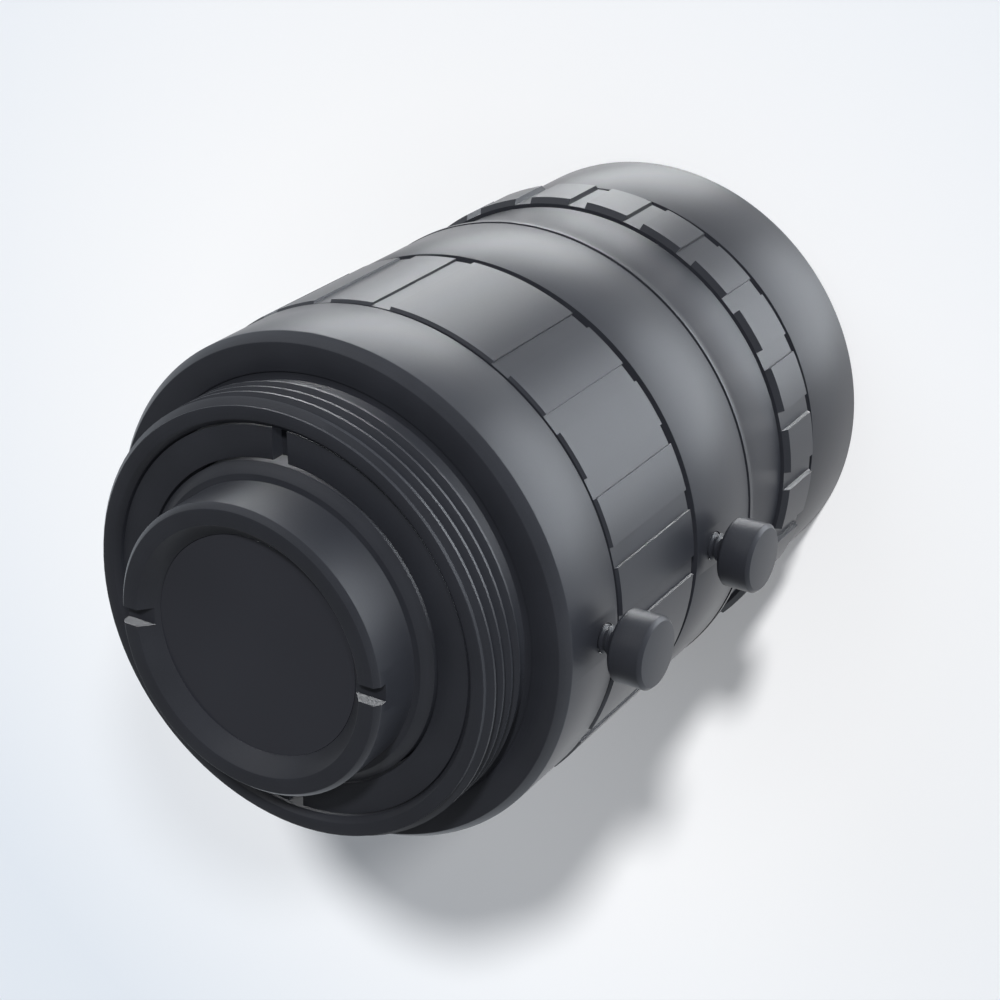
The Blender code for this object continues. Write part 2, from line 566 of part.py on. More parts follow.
def iris_housing(surface, axis):
    """Cup with the fixed aperture and the pivot holes of the blades in its floor."""
    housing = place("iris_housing", turned([
        (HOUSING_RADIUS, Z_HOUSING_REAR), (HOUSING_RADIUS, Z_HOUSING_FRONT),
        (HOUSING_BORE_RADIUS, Z_HOUSING_FRONT), (HOUSING_BORE_RADIUS, Z_FLOOR),
        (APERTURE_RADIUS, Z_FLOOR), (APERTURE_RADIUS, Z_HOUSING_REAR),
    ], INNER_STEPS), surface, axis)
    radius = BLADE_PIN_RADIUS + PIN_GAP
    low = Z_FLOOR - SEAT_GAP
    high = Z_HOUSING_REAR + SEAT_GAP
    holes = []
    for k in range(BLADE_COUNT):
        hole = lathed([(0, high), (radius, high), (radius, low), (0, low)], PIN_STEPS)
        bmesh.ops.translate(hole, verts=hole.verts, vec=(PIVOT_RADIUS, 0, 0))
        turn = Matrix.Rotation(math.tau * k / BLADE_COUNT, 3, "Z")
        bmesh.ops.rotate(hole, verts=hole.verts, cent=(0, 0, 0), matrix=turn)
        holes.append(hole)
    combine(housing, joined(holes), "pivot_holes")
    combine(housing, drive_pin_slot(HOUSING_BORE_RADIUS, HOUSING_RADIUS), "housing_slot")


def blade_outline():
    """Crescent blade about the lens axis, open: a band, a round tip, and a head round the two pins."""
    inner = APERTURE_RADIUS + BLADE_OVERLAP
    outer = inner + BLADE_WIDTH
    pivot = (PIVOT_RADIUS, 0)
    tail = (PIVOT_RADIUS - TAIL_INSET, -TAIL_REACH)
    lead = math.radians(6)
    outline = arc(inner, -lead, BLADE_SWEEP, 9)
    tip = (outer + inner) / 2
    tip_center = (tip * math.cos(BLADE_SWEEP), tip * math.sin(BLADE_SWEEP))
    outline += arc(BLADE_WIDTH / 2, BLADE_SWEEP + math.pi, BLADE_SWEEP, 4, tip_center)[1:-1]
    outline += arc(outer, BLADE_SWEEP, math.radians(16), 8)
    outline += arc(BLADE_HEAD_RADIUS, math.radians(75), 0, 3, pivot)
    outline += arc(BLADE_TAIL_RADIUS, 0, math.radians(-165), 5, tail)
    return outline


def iris_blade(number, surface, axis):
    """One blade with its pivot pin to the rear and its drive pin to the front, origin on the pivot."""
    low = Z_BLADES_FRONT + BLADE_PITCH * number
    high = low + BLADE_THICKNESS
    pivot = Vector((PIVOT_RADIUS, 0, 0))
    leaf = plate(blade_outline(), low, high)
    bmesh.ops.translate(leaf, verts=leaf.verts, vec=-pivot)
    turn = math.tau * number / BLADE_COUNT
    blade = place(f"iris_blade_{number + 1}", leaf, surface, axis, Matrix.Rotation(turn, 3, "Z") @ pivot)
    blade.rotation_euler = (0, 0, turn)
    middle = (low + high) / 2
    pivot_end = Z_FLOOR + HOUSING_FLOOR - SEAT_GAP
    pin = lathed([(0, pivot_end), (BLADE_PIN_RADIUS, pivot_end), (BLADE_PIN_RADIUS, middle), (0, middle)],
                 PIN_STEPS)
    combine(blade, pin, f"blade_{number + 1}_pivot", "UNION")
    drive_end = Z_CAM_FRONT + SEAT_GAP
    pin = lathed([(0, middle), (BLADE_PIN_RADIUS, middle), (BLADE_PIN_RADIUS, drive_end), (0, drive_end)],
                 PIN_STEPS)
    bmesh.ops.translate(pin, verts=pin.verts, vec=(-TAIL_INSET, -TAIL_REACH, 0))
    combine(blade, pin, f"blade_{number + 1}_drive", "UNION")


def iris_cam_ring(surface, axis):
    """Slotted ring that swings the blades, with a hole in its rim for the drive pin."""
    ring = place("iris_cam_ring", tube(CAM_RADIUS - CAM_WIDTH, CAM_RADIUS, Z_CAM_FRONT, Z_CAM_REAR),
                 surface, axis)
    slots = joined([cam_slot(math.tau * k / BLADE_COUNT) for k in range(BLADE_COUNT)])
    combine(ring, slots, "cam_slots")
    hole = radial_rod(DRIVE_PIN_RADIUS + PIN_GAP, CAM_RADIUS - DRIVE_PIN_GRIP - SEAT_GAP,
                      CAM_RADIUS + SEAT_GAP, drive_pin_angle(), (Z_CAM_FRONT + Z_CAM_REAR) / 2)
    combine(ring, hole, "cam_rim_hole")


def radial_rod(radius, start, end, turn, height):
    bar = rod(radius, start, end)
    bmesh.ops.translate(bar, verts=bar.verts, vec=(0, 0, height))
    bmesh.ops.rotate(bar, verts=bar.verts, cent=(0, 0, 0), matrix=Matrix.Rotation(turn, 3, "Z"))
    return bar


def cam_keeper_ring(surface, axis):
    """Flat ring in the mouth of the housing, which keeps the cam ring in."""
    outer = HOUSING_BORE_RADIUS - SLIDE_GAP
    band = tube(outer - KEEPER_WIDTH, outer, Z_KEEPER_FRONT, Z_KEEPER_FRONT + KEEPER_LENGTH)
    place("cam_keeper_ring", band, surface, axis)


def iris_ring(surface, axis):
    """Ring with groups of valleys, and a skirt under the rear band, where the lock screw presses on it."""
    edge = IRIS_VALLEY_DEPTH
    ring = place("iris_ring", turned([
        (IRIS_SKIRT_RADIUS, Z_IRIS_SKIRT_REAR),
        (IRIS_SKIRT_RADIUS, Z_IRIS_REAR),
        (IRIS_GRIP_RADIUS - edge, Z_IRIS_REAR),
        (IRIS_GRIP_RADIUS, Z_IRIS_REAR - edge),
        (IRIS_GRIP_RADIUS, Z_IRIS_FRONT),
        (IRIS_BORE_RADIUS, Z_IRIS_FRONT),
        (IRIS_BORE_RADIUS, Z_IRIS_SKIRT_REAR),
    ], OUTER_STEPS), surface, axis)
    turns = []
    for group in range(IRIS_VALLEY_GROUPS):
        start = math.tau * group / IRIS_VALLEY_GROUPS
        turns += [start + VALLEY_PITCH * k for k in range(IRIS_GROUP_VALLEYS)]
    valleys = grip_cutter(IRIS_GRIP_RADIUS - IRIS_VALLEY_DEPTH, Z_IRIS_FRONT, Z_IRIS_REAR, turns)
    combine(ring, valleys, "iris_valleys")
    hole = radial_rod(DRIVE_PIN_RADIUS + PIN_GAP, IRIS_BORE_RADIUS - SEAT_GAP,
                      IRIS_BORE_RADIUS + DRIVE_PIN_GRIP + SEAT_GAP, drive_pin_angle(),
                      (Z_CAM_FRONT + Z_CAM_REAR) / 2)
    combine(ring, hole, "iris_pin_hole")


def iris_drive_pin(surface, axis):
    """Pin from the bore of the iris ring, through the neck and the housing, into the cam ring."""
    height = (Z_CAM_FRONT + Z_CAM_REAR) / 2
    bar = rod(DRIVE_PIN_RADIUS, CAM_RADIUS - DRIVE_PIN_GRIP, IRIS_BORE_RADIUS + DRIVE_PIN_GRIP)
    pin = place("iris_drive_pin", bar, surface, axis, (0, 0, height))
    pin.rotation_euler = (0, 0, drive_pin_angle())


def main_barrel(surface, axis):
    """Middle barrel: a plain sleeve, a web, the nose inside the focus ring and the hub inside the neck."""
    groove_front = Z_NOSE_FRONT + SNAP_RING_INSET - SEAT_GAP
    groove_rear = groove_front + SNAP_RING_LENGTH + 2 * SEAT_GAP
    groove_floor = NOSE_RADIUS - SNAP_NOSE_DEPTH
    barrel = place("main_barrel", turned([
        (HUB_RADIUS, Z_HUB_REAR),
        (HUB_RADIUS, Z_SLEEVE_REAR),
        (SLEEVE_RADIUS, Z_SLEEVE_REAR),
        (SLEEVE_RADIUS, Z_SLEEVE_FRONT),
        (SLEEVE_BORE_RADIUS, Z_SLEEVE_FRONT),
        (SLEEVE_BORE_RADIUS, Z_WEB),
        (NOSE_RADIUS, Z_WEB),
        (NOSE_RADIUS, groove_rear),
        (groove_floor, groove_rear),
        (groove_floor, groove_front),
        (NOSE_RADIUS, groove_front),
        (NOSE_RADIUS, Z_NOSE_FRONT),
        (NOSE_BORE_RADIUS, Z_NOSE_FRONT),
        (NOSE_BORE_RADIUS, Z_WEB),
        (HUB_RADIUS - HUB_WALL, Z_WEB),
        (HUB_RADIUS - HUB_WALL, Z_HUB_REAR),
    ], OUTER_STEPS), surface, axis)
    hole = rod(LOCK_SHANK_RADIUS + LOCK_HOLE_GAP, SLEEVE_BORE_RADIUS - CUT_SPARE, SLEEVE_RADIUS + CUT_SPARE)
    bmesh.ops.translate(hole, verts=hole.verts, vec=(0, 0, Z_FOCUS_LOCK))
    combine(barrel, hole, "focus_lock_hole")
    hole = radial_rod(GUIDE_PIN_RADIUS + PIN_GAP, NOSE_BORE_RADIUS - SEAT_GAP, NOSE_RADIUS + SEAT_GAP,
                      math.pi, Z_GUIDE_PIN)
    combine(barrel, hole, "guide_pin_hole")


def focus_ring(surface, axis):
    """Focus ring: gripped band, plain neck, flared collar, and a skirt under the sleeve of the barrel."""
    collar = BODY_RADIUS + FOCUS_GRIP_PROUD
    neck = BODY_RADIUS - FOCUS_NECK_STEP
    foot = FOCUS_GRIP_RADIUS - FOCUS_GRIP_CHAMFER
    helicoid = FRONT_TUBE_RADIUS + TURNING_GAP
    step = Z_NOSE_FRONT - TURNING_GAP
    groove_front = Z_NOSE_FRONT + SNAP_RING_INSET - SEAT_GAP
    groove_rear = groove_front + SNAP_RING_LENGTH + 2 * SEAT_GAP
    groove = FOCUS_BORE_RADIUS + SNAP_SKIRT_DEPTH
    ring = place("focus_ring", turned([
        (FOCUS_SKIRT_RADIUS, Z_SKIRT_REAR),
        (FOCUS_SKIRT_RADIUS, Z_FOCUS_REAR),
        (collar, Z_FOCUS_REAR),
        (collar, Z_FOCUS_COLLAR),
        (neck, Z_FOCUS_TAPER),
        (neck, Z_FOCUS_GRIP_REAR),
        (foot, Z_FOCUS_GRIP_REAR),
        (FOCUS_GRIP_RADIUS, Z_FOCUS_GRIP_REAR - FOCUS_GRIP_CHAMFER),
        (FOCUS_GRIP_RADIUS, Z_FOCUS_FRONT + FOCUS_GRIP_CHAMFER),
        (foot, Z_FOCUS_FRONT),
        (helicoid, Z_FOCUS_FRONT),
        (helicoid, step),
        (FOCUS_BORE_RADIUS, step),
        (FOCUS_BORE_RADIUS, groove_front),
        (groove, groove_front),
        (groove, groove_rear),
        (FOCUS_BORE_RADIUS, groove_rear),
        (FOCUS_BORE_RADIUS, Z_SKIRT_REAR),
    ], OUTER_STEPS), surface, axis)
    turns = [VALLEY_PITCH * k for k in range(FOCUS_VALLEYS)]
    valleys = grip_cutter(FOCUS_GRIP_RADIUS - FOCUS_VALLEY_DEPTH, Z_FOCUS_FRONT, Z_FOCUS_GRIP_REAR, turns)
    combine(ring, valleys, "focus_valleys")


def focus_snap_ring(surface, axis):
    """Split spring ring, half in the nose and half in the focus ring."""
    low = Z_NOSE_FRONT + SNAP_RING_INSET
    high = low + SNAP_RING_LENGTH
    inner = NOSE_RADIUS - SNAP_NOSE_DEPTH + PIN_GAP
    outer = FOCUS_BORE_RADIUS + SNAP_SKIRT_DEPTH - SLIDE_GAP
    profile = [(outer, high), (outer, low), (inner, low), (inner, high)]
    ring = turned(profile, OUTER_STEPS, math.tau - SNAP_RING_SPLIT, SNAP_RING_SPLIT / 2)
    place("focus_snap_ring", ring, surface, axis)


def focus_guide_pin(surface, axis):
    """Pin in the nose that runs in the straight slot of the front barrel."""
    bar = radial_rod(GUIDE_PIN_RADIUS, FRONT_BORE_RADIUS + GUIDE_PIN_INSET, NOSE_RADIUS - PIN_GAP, math.pi, 0)
    place("focus_guide_pin", bar, surface, axis, (0, 0, Z_GUIDE_PIN))


def front_barrel(surface, axis):
    """Front barrel: rim with the accessory recess, and the long tube that holds the front glasses."""
    recess = FRONT_BARREL_RADIUS - RIM_WALL
    seat = FRONT_BORE_RADIUS - FRONT_SEAT_WIDTH
    barrel = place("front_barrel", turned([
        (FRONT_TUBE_RADIUS, Z_TUBE_REAR),
        (FRONT_TUBE_RADIUS, Z_BARREL_REAR),
        (FRONT_BARREL_RADIUS, Z_BARREL_REAR),
        (FRONT_BARREL_RADIUS, FRONT_EDGE),
        (FRONT_BARREL_RADIUS - FRONT_EDGE, 0),
        (recess + RIM_MOUTH_CHAMFER, 0),
        (recess, RIM_MOUTH_CHAMFER),
        (recess, Z_RECESS),
        (FRONT_RING_BORE_RADIUS, Z_RECESS),
        (FRONT_RING_BORE_RADIUS, Z_FRONT_LENS_FRONT),
        (FRONT_BORE_RADIUS, Z_FRONT_LENS_FRONT),
        (FRONT_BORE_RADIUS, Z_FRONT_SEAT),
        (seat, Z_FRONT_SEAT),
        (seat, Z_TUBE_REAR),
    ], OUTER_STEPS), surface, axis)
    width = 2 * (GUIDE_PIN_RADIUS + SLIDE_GAP)
    size = (FRONT_TUBE_WALL + 2 * CUT_SPARE, width, Z_GUIDE_SLOT_REAR - Z_GUIDE_SLOT_FRONT)
    middle = (FRONT_TUBE_RADIUS + FRONT_BORE_RADIUS) / 2
    combine(barrel, block(size, (-middle, 0, (Z_GUIDE_SLOT_FRONT + Z_GUIDE_SLOT_REAR) / 2)), "guide_slot")


def front_group(glass, black, axis):
    """Three glasses and two spacers, held from the front by a slotted ring."""
    rim = FRONT_LENS_RADIUS
    clear = rim - SPACER_WALL
    place("front_lens", lathed(cap(clear, Z_FRONT_LENS_REAR, -FRONT_LENS_BULGE / 2)[::-1] + [
        (rim, Z_FRONT_LENS_REAR), (rim, Z_FRONT_LENS_FRONT),
    ] + cap(clear, Z_FRONT_LENS_FRONT, -FRONT_LENS_BULGE), INNER_STEPS), glass, axis)
    place("second_lens", lathed(cap(clear, Z_SECOND_REAR, SECOND_LENS_BULGE)[::-1] + [
        (rim, Z_SECOND_REAR), (rim, Z_SECOND_FRONT),
    ] + cap(clear, Z_SECOND_FRONT, -SECOND_LENS_BULGE), INNER_STEPS), glass, axis)
    place("third_lens", lathed(cap(clear, Z_THIRD_REAR, THIRD_LENS_BULGE)[::-1] + [
        (rim, Z_THIRD_REAR), (rim, Z_THIRD_FRONT),
    ] + cap(clear, Z_THIRD_FRONT, THIRD_LENS_BULGE), INNER_STEPS), glass, axis)
    high = Z_INNER_SPACER_REAR
    place("inner_spacer", tube(clear, rim, high - INNER_SPACER_LENGTH, high), black, axis)
    high = Z_FRONT_SPACER_REAR
    place("front_spacer", tube(clear, rim, high - FRONT_SPACER_LENGTH, high), black, axis)
    outer = FRONT_RING_BORE_RADIUS - TURNING_GAP
    inner = outer - FRONT_RING_WIDTH
    low = Z_FRONT_RING_FRONT
    ring = place("front_retaining_ring", turned([
        (outer, Z_FRONT_RING_REAR), (outer, low), (inner + FRONT_RING_CONE, low),
        (inner, low + FRONT_RING_CONE), (inner, Z_FRONT_RING_REAR),
    ], INNER_STEPS), black, axis)
    slots = slot_pair(FRONT_RING_SLOT_WIDTH, FRONT_RING_SLOT_DEPTH, inner, outer, low)
    combine(ring, slots, "front_ring_slots")


def lock_screw(name, height, wall_bore, steel, brass, axis):
    """Plain thumbscrew along +X, with a soft pad ahead of its tip."""
    pad_end = wall_bore + LOCK_PAD_LENGTH
    tip = pad_end + PIN_GAP
    bar = lathed([
        (0, tip), (LOCK_SHANK_RADIUS, tip), (LOCK_SHANK_RADIUS, LOCK_HEAD_START),
        (LOCK_HEAD_RADIUS - LOCK_HEAD_BREAK, LOCK_HEAD_START),
        (LOCK_HEAD_RADIUS, LOCK_HEAD_START + LOCK_HEAD_BREAK),
        (LOCK_HEAD_RADIUS, LOCK_HEAD_END - LOCK_HEAD_BREAK),
        (LOCK_HEAD_RADIUS - LOCK_HEAD_BREAK, LOCK_HEAD_END), (0, LOCK_HEAD_END),
    ], 24)
    bmesh.ops.rotate(bar, verts=bar.verts, cent=(0, 0, 0), matrix=Matrix.Rotation(math.pi / 2, 3, "Y"))
    place(name + "_screw", bar, steel, axis, (0, 0, height))
    pad = rod(LOCK_SHANK_RADIUS, wall_bore, pad_end)
    place(name + "_pad", pad, brass, axis, (0, 0, height))


def build():
    for old in list(bpy.data.objects):
        bpy.data.objects.remove(old)
    anodised = material("black_anodised", (0.045, 0.047, 0.052), 0.42, 0.0)
    inner_black = material("inner_black", (0.02, 0.02, 0.022), 0.6, 0.0)
    glass = material("coated_glass", (0.10, 0.11, 0.13), 0.08, 0.0, 0.5)
    blade_steel = material("blade_steel", (0.06, 0.06, 0.06), 0.5, 0.6)
    steel = material("steel", (0.55, 0.55, 0.56), 0.3, 1.0)
    brass = material("brass", (0.75, 0.56, 0.22), 0.35, 1.0)

    axis = bpy.data.objects.new("lens_axis", None)
    bpy.context.collection.objects.link(axis)
    axis.location = (AXIS_X, 0, 0)

    mount_barrel(anodised, axis)
    rear_retaining_ring(anodised, axis)
    rear_cell(anodised, axis)
    rear_group(glass, inner_black, axis)
    iris_housing(inner_black, axis)
    iris_cam_ring(brass, axis)
    cam_keeper_ring(inner_black, axis)
    for number in range(BLADE_COUNT):
        iris_blade(number, blade_steel, axis)
    iris_ring(anodised, axis)
    iris_drive_pin(steel, axis)
    main_barrel(anodised, axis)
    focus_ring(anodised, axis)
    focus_snap_ring(steel, axis)
    focus_guide_pin(steel, axis)
    front_barrel(anodised, axis)
    front_group(glass, inner_black, axis)
    lock_screw("iris_lock", Z_IRIS_LOCK, POCKET_RADIUS, anodised, brass, axis)
    lock_screw("focus_lock", Z_FOCUS_LOCK, SLEEVE_BORE_RADIUS, anodised, brass, axis)


build()
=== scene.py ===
"""Looks of the C-mount lens: machined, black anodised, standing on its front rim in soft studio light."""

import json
import math

import bmesh
import bpy
from mathutils import Matrix, Vector


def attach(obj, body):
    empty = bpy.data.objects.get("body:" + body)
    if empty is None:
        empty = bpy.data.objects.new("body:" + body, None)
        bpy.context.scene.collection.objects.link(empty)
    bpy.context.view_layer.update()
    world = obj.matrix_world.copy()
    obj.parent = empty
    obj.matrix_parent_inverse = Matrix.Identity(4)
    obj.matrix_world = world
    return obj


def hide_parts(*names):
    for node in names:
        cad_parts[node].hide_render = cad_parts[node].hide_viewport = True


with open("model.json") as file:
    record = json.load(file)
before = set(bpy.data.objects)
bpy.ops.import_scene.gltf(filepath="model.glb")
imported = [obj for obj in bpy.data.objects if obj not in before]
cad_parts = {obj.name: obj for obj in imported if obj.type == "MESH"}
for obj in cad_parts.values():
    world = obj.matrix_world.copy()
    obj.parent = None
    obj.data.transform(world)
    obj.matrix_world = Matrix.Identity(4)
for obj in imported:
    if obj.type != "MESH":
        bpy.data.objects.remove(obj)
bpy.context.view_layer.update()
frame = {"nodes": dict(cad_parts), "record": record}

# Camera: it looks down at the camera side of the lens, from the side of the lock screws, and is rolled so
# that the lens lies across the picture with its thread to the lower left.
camera = bpy.data.objects.new("camera", bpy.data.cameras.new("camera"))
bpy.context.collection.objects.link(camera)
camera.data.sensor_width = 36
camera.data.lens = 78.364
camera.data.clip_start = 0.005
camera.data.clip_end = 5
camera.matrix_world = Matrix((
    (0.84954609, -0.23180473, 0.47385442, 0.06061268),
    (0.00181964, 0.89956008, 0.43679326, 0.05584649),
    (-0.52751126, -0.37021376, 0.76463955, 0.11988932),
    (0, 0, 0, 1),
))
bpy.context.scene.camera = camera

# Studio: a matt sheet under the lens whose colour holds a painted fall-off of light, white in the middle
# and darker, faintly blue further out; two key lamps and a broad rim lamp from above the picture, two broad
# lamps for the light that the sheet throws back up, and a sky that is dim on the side that the rear faces of
# the lens mirror and pale along the horizon.
SHEET_RADIUS = 2.5
SHEET_CENTRE = (-0.012, -0.013, 0)
# Reach of the painted fall-off of light in the sheet's colour.
PAINTED_FALLOFF_REACH = 0.075
KEY_SPREAD = 5
KEY_WHITE = (1.0, 0.99, 0.97)
MIRRORED_WAY = (-0.474, -0.437, 0.765)
SKY_LEVEL = 0.30
SKY_DIP = 0.13
HAZE_LEVEL = 0.55


class Value:
    """A socket's value, for shader maths written as expressions."""

    def __init__(self, tree, socket):
        self.tree = tree
        self.socket = socket

    def math(self, operation, *values):
        return add_node(self.tree, "ShaderNodeMath", {"operation": operation}, dict(enumerate(values)))

    def __add__(self, other):
        return self.math("ADD", self, other)

    __radd__ = __add__

    def __sub__(self, other):
        return self.math("SUBTRACT", self, other)

    def __rsub__(self, other):
        return self.math("SUBTRACT", other, self)

    def __mul__(self, other):
        return self.math("MULTIPLY", self, other)

    __rmul__ = __mul__

    def size(self):
        return self.math("ABSOLUTE", self)

    def clamped(self):
        return self.math("MINIMUM", self.math("MAXIMUM", self, 0.0), 1.0)


def add_node(tree, kind, settings, sockets, output=0):
    """Adds a node, makes its settings first, then sets or links its sockets, and gives one output."""
    node = tree.nodes.new(kind)
    for name, value in settings.items():
        if name == "stops":
            ramp = node.color_ramp
            while len(ramp.elements) < len(value):
                ramp.elements.new(0.5)
            for element, (place, color) in zip(ramp.elements, value):
                element.position = place
                element.color = (*color, 1)
        else:
            setattr(node, name, value)
    for name, value in sockets.items():
        if isinstance(value, Value):
            tree.links.new(value.socket, node.inputs[name])
        else:
            node.inputs[name].default_value = value
    return Value(tree, node.outputs[output])


def new_material(name):
    """An empty node material, and its tree."""
    made = bpy.data.materials.new(name)
    made.use_nodes = True
    made.node_tree.nodes.clear()
    return made, made.node_tree


def finish_material(tree, shader):
    out = tree.nodes.new("ShaderNodeOutputMaterial")
    tree.links.new(shader.socket, out.inputs["Surface"])


bm = bmesh.new()
bmesh.ops.create_circle(bm, cap_ends=True, segments=96, radius=SHEET_RADIUS)
sheet_mesh = bpy.data.meshes.new("sheet")
bm.to_mesh(sheet_mesh)
bm.free()
sheet = bpy.data.objects.new("sheet", sheet_mesh)
bpy.context.collection.objects.link(sheet)
sheet.location = SHEET_CENTRE
sheet_white, tree = new_material("sheet_white")
place = add_node(tree, "ShaderNodeTexCoord", {}, {}, "Object")
distance = add_node(tree, "ShaderNodeVectorMath", {"operation": "LENGTH"}, {0: place}, "Value")
# Painted fall-off of light: the sheet's colour darkens from white at the lens to blue-grey further out.
sheet_painted_falloff = add_node(tree, "ShaderNodeValToRGB", {"stops": [
    (0.0, (0.95, 0.95, 0.965)), (0.4, (0.92, 0.93, 0.955)), (1.0, (0.73, 0.78, 0.85)),
]}, {0: distance * (1 / PAINTED_FALLOFF_REACH)})
matt = add_node(tree, "ShaderNodeBsdfPrincipled", {}, {
    "Base Color": sheet_painted_falloff, "Roughness": 0.9, "Specular IOR Level": 0.0,
})
finish_material(tree, matt)
sheet_mesh.materials.append(sheet_white)


def add_sun(name, direction, strength, spread, color, shaded=True):
    """A distant lamp in the given direction, as broad as its spread in degrees."""
    data = bpy.data.lights.new(name, "SUN")
    data.energy = strength
    data.angle = math.radians(spread)
    data.color = color
    data.use_shadow = shaded
    data.cycles.use_multiple_importance_sampling = shaded
    lamp = bpy.data.objects.new(name, data)
    bpy.context.collection.objects.link(lamp)
    lamp.rotation_euler = Vector(direction).to_track_quat("Z", "Y").to_euler()
    return lamp


high_key = add_sun("high_key", (0.32, 0.68, 0.66), 2.82, KEY_SPREAD, KEY_WHITE)
low_key = add_sun("low_key", (0.54, 0.62, 0.57), 0.85, KEY_SPREAD, KEY_WHITE)
for lamp in (high_key, low_key):
    lamp.visible_glossy = False
add_sun("rim_lamp", (-0.474, 0.72, 0.50), 0.35, 50, (0.95, 0.97, 1.0))
add_sun("top_bounce", (-0.43, 0.48, -0.765), 1.2, 36, (0.96, 0.98, 1.0), shaded=False)
add_sun("side_bounce", (0.562, 0.316, -0.765), 1.95, 43, (0.89, 0.94, 1.0), shaded=False)
world = bpy.data.worlds.new("studio")
world.use_nodes = True
tree = world.node_tree
tree.nodes.clear()
way = add_node(tree, "ShaderNodeTexCoord", {}, {}, "Generated")
facing = add_node(tree, "ShaderNodeVectorMath", {"operation": "DOT_PRODUCT"}, {
    0: way, 1: MIRRORED_WAY,
}, "Value")
dim = ((facing - 0.45) * 2.5).clamped()
height = add_node(tree, "ShaderNodeSeparateXYZ", {}, {0: way}, "Z")
haze = (1.5 - 6 * height.size()).clamped()
sky = add_node(tree, "ShaderNodeBackground", {}, {
    "Color": (0.92, 0.96, 1.0, 1), "Strength": SKY_LEVEL - SKY_DIP * dim + HAZE_LEVEL * haze,
})
out = tree.nodes.new("ShaderNodeOutputWorld")
tree.links.new(sky.socket, out.inputs["Surface"])
bpy.context.scene.world = world
bpy.context.scene.view_settings.view_transform = "Standard"

# Mount barrel: one aluminium turning, anodised black, with the core of the camera thread, its relief
# groove, the flange and the chamfered rear band. A pocket in the band takes the iris ring's skirt. The band
# is drilled for its lock screw, and the neck is slotted for the pin of the iris ring.
AXIS_X = -0.00151
ROUND = 240
HOLE_STEPS = 32
WELD = 1e-7
ON_WALL = 0.00001
CORNER_ANGLE = 0.35
SHARP_ANGLE = math.radians(32)
EDGE_BREAK = 0.00004
GROOVE_SCALE = 14000.0
GRAIN_SCALE = 11000.0
GRAIN_DEPTH = 0.00001
CLOUD_SCALE = 240.0
TINT_SPREAD = 0.18
ROUGHNESS_SPREAD = 0.06
METAL_SPECULAR = 0.38
ANODISED = ((0.018, 0.0193, 0.0243), 0.38, 0.0, 0.15)
BODY_RADIUS = 0.01485
POCKET_RADIUS = 0.0139
NECK_RADIUS = 0.0126
NECK_BORE = 0.0118
THREAD_ROOT = 0.01233
RELIEF_RADIUS = 0.0128
RELIEF_UNDERCUT = 0.0001
FLANGE_RADIUS = 0.01441
MOUNT_BORE = 0.0113
MOUNT_CHAMFER = 0.0003
CELL_HOLE = 0.0086
Z_MOUNT_REAR = 0.04112
Z_MOUNT_SEAT = 0.0382
Z_FLANGE = 0.03718
Z_BAND_REAR = 0.03656
Z_POCKET = 0.0347
Z_BAND_FRONT = 0.03188
Z_SHOULDER = 0.03016
Z_NECK_FRONT = 0.0231
Z_IRIS_LOCK = 0.03321
LOCK_HOLE = 0.00085
HOLE_TURN = 0.075
HOLE_REACH = 0.00105
PIN_SLOT_TURN = math.radians(140.85)
PIN_SLOT_REACH = math.radians(26.3)
Z_PIN_SLOT = (0.02575, 0.02695)


def turned_piece(outline, steps=ROUND, break_width=EDGE_BREAK, closed=True):
    """Spins an outline of (radius, height) about Z and breaks its corners, as on a lathe."""
    bm = bmesh.new()
    verts = [bm.verts.new((radius, 0, height)) for radius, height in outline]
    ends = verts[1:] + verts[:1] if closed else verts[1:]
    edges = [bm.edges.new(pair) for pair in zip(verts, ends)]
    bmesh.ops.spin(bm, geom=verts + edges, cent=(0, 0, 0), axis=(0, 0, 1), angle=math.tau, steps=steps,
                   use_merge=True)
    bmesh.ops.remove_doubles(bm, verts=bm.verts, dist=WELD)
    bmesh.ops.recalc_face_normals(bm, faces=bm.faces)
    if break_width:
        corners = [edge for edge in bm.edges if edge.calc_face_angle(0) > CORNER_ANGLE]
        bmesh.ops.bevel(bm, geom=corners, offset=break_width, offset_type="OFFSET", segments=2, profile=0.5,
                        affect="EDGES", material=-1, clamp_overlap=True)
    return bm


def split_faces(bm, faces, place, normal):
    """Cuts faces by a plane and gives the faces on both sides of the cut."""
    edges = {edge for face in faces for edge in face.edges}
    verts = {vert for face in faces for vert in face.verts}
    cut = bmesh.ops.bisect_plane(bm, geom=faces + list(edges) + list(verts), plane_co=place,
                                 plane_no=normal, dist=WELD)
    return [item for item in cut["geom"] if isinstance(item, bmesh.types.BMFace)]


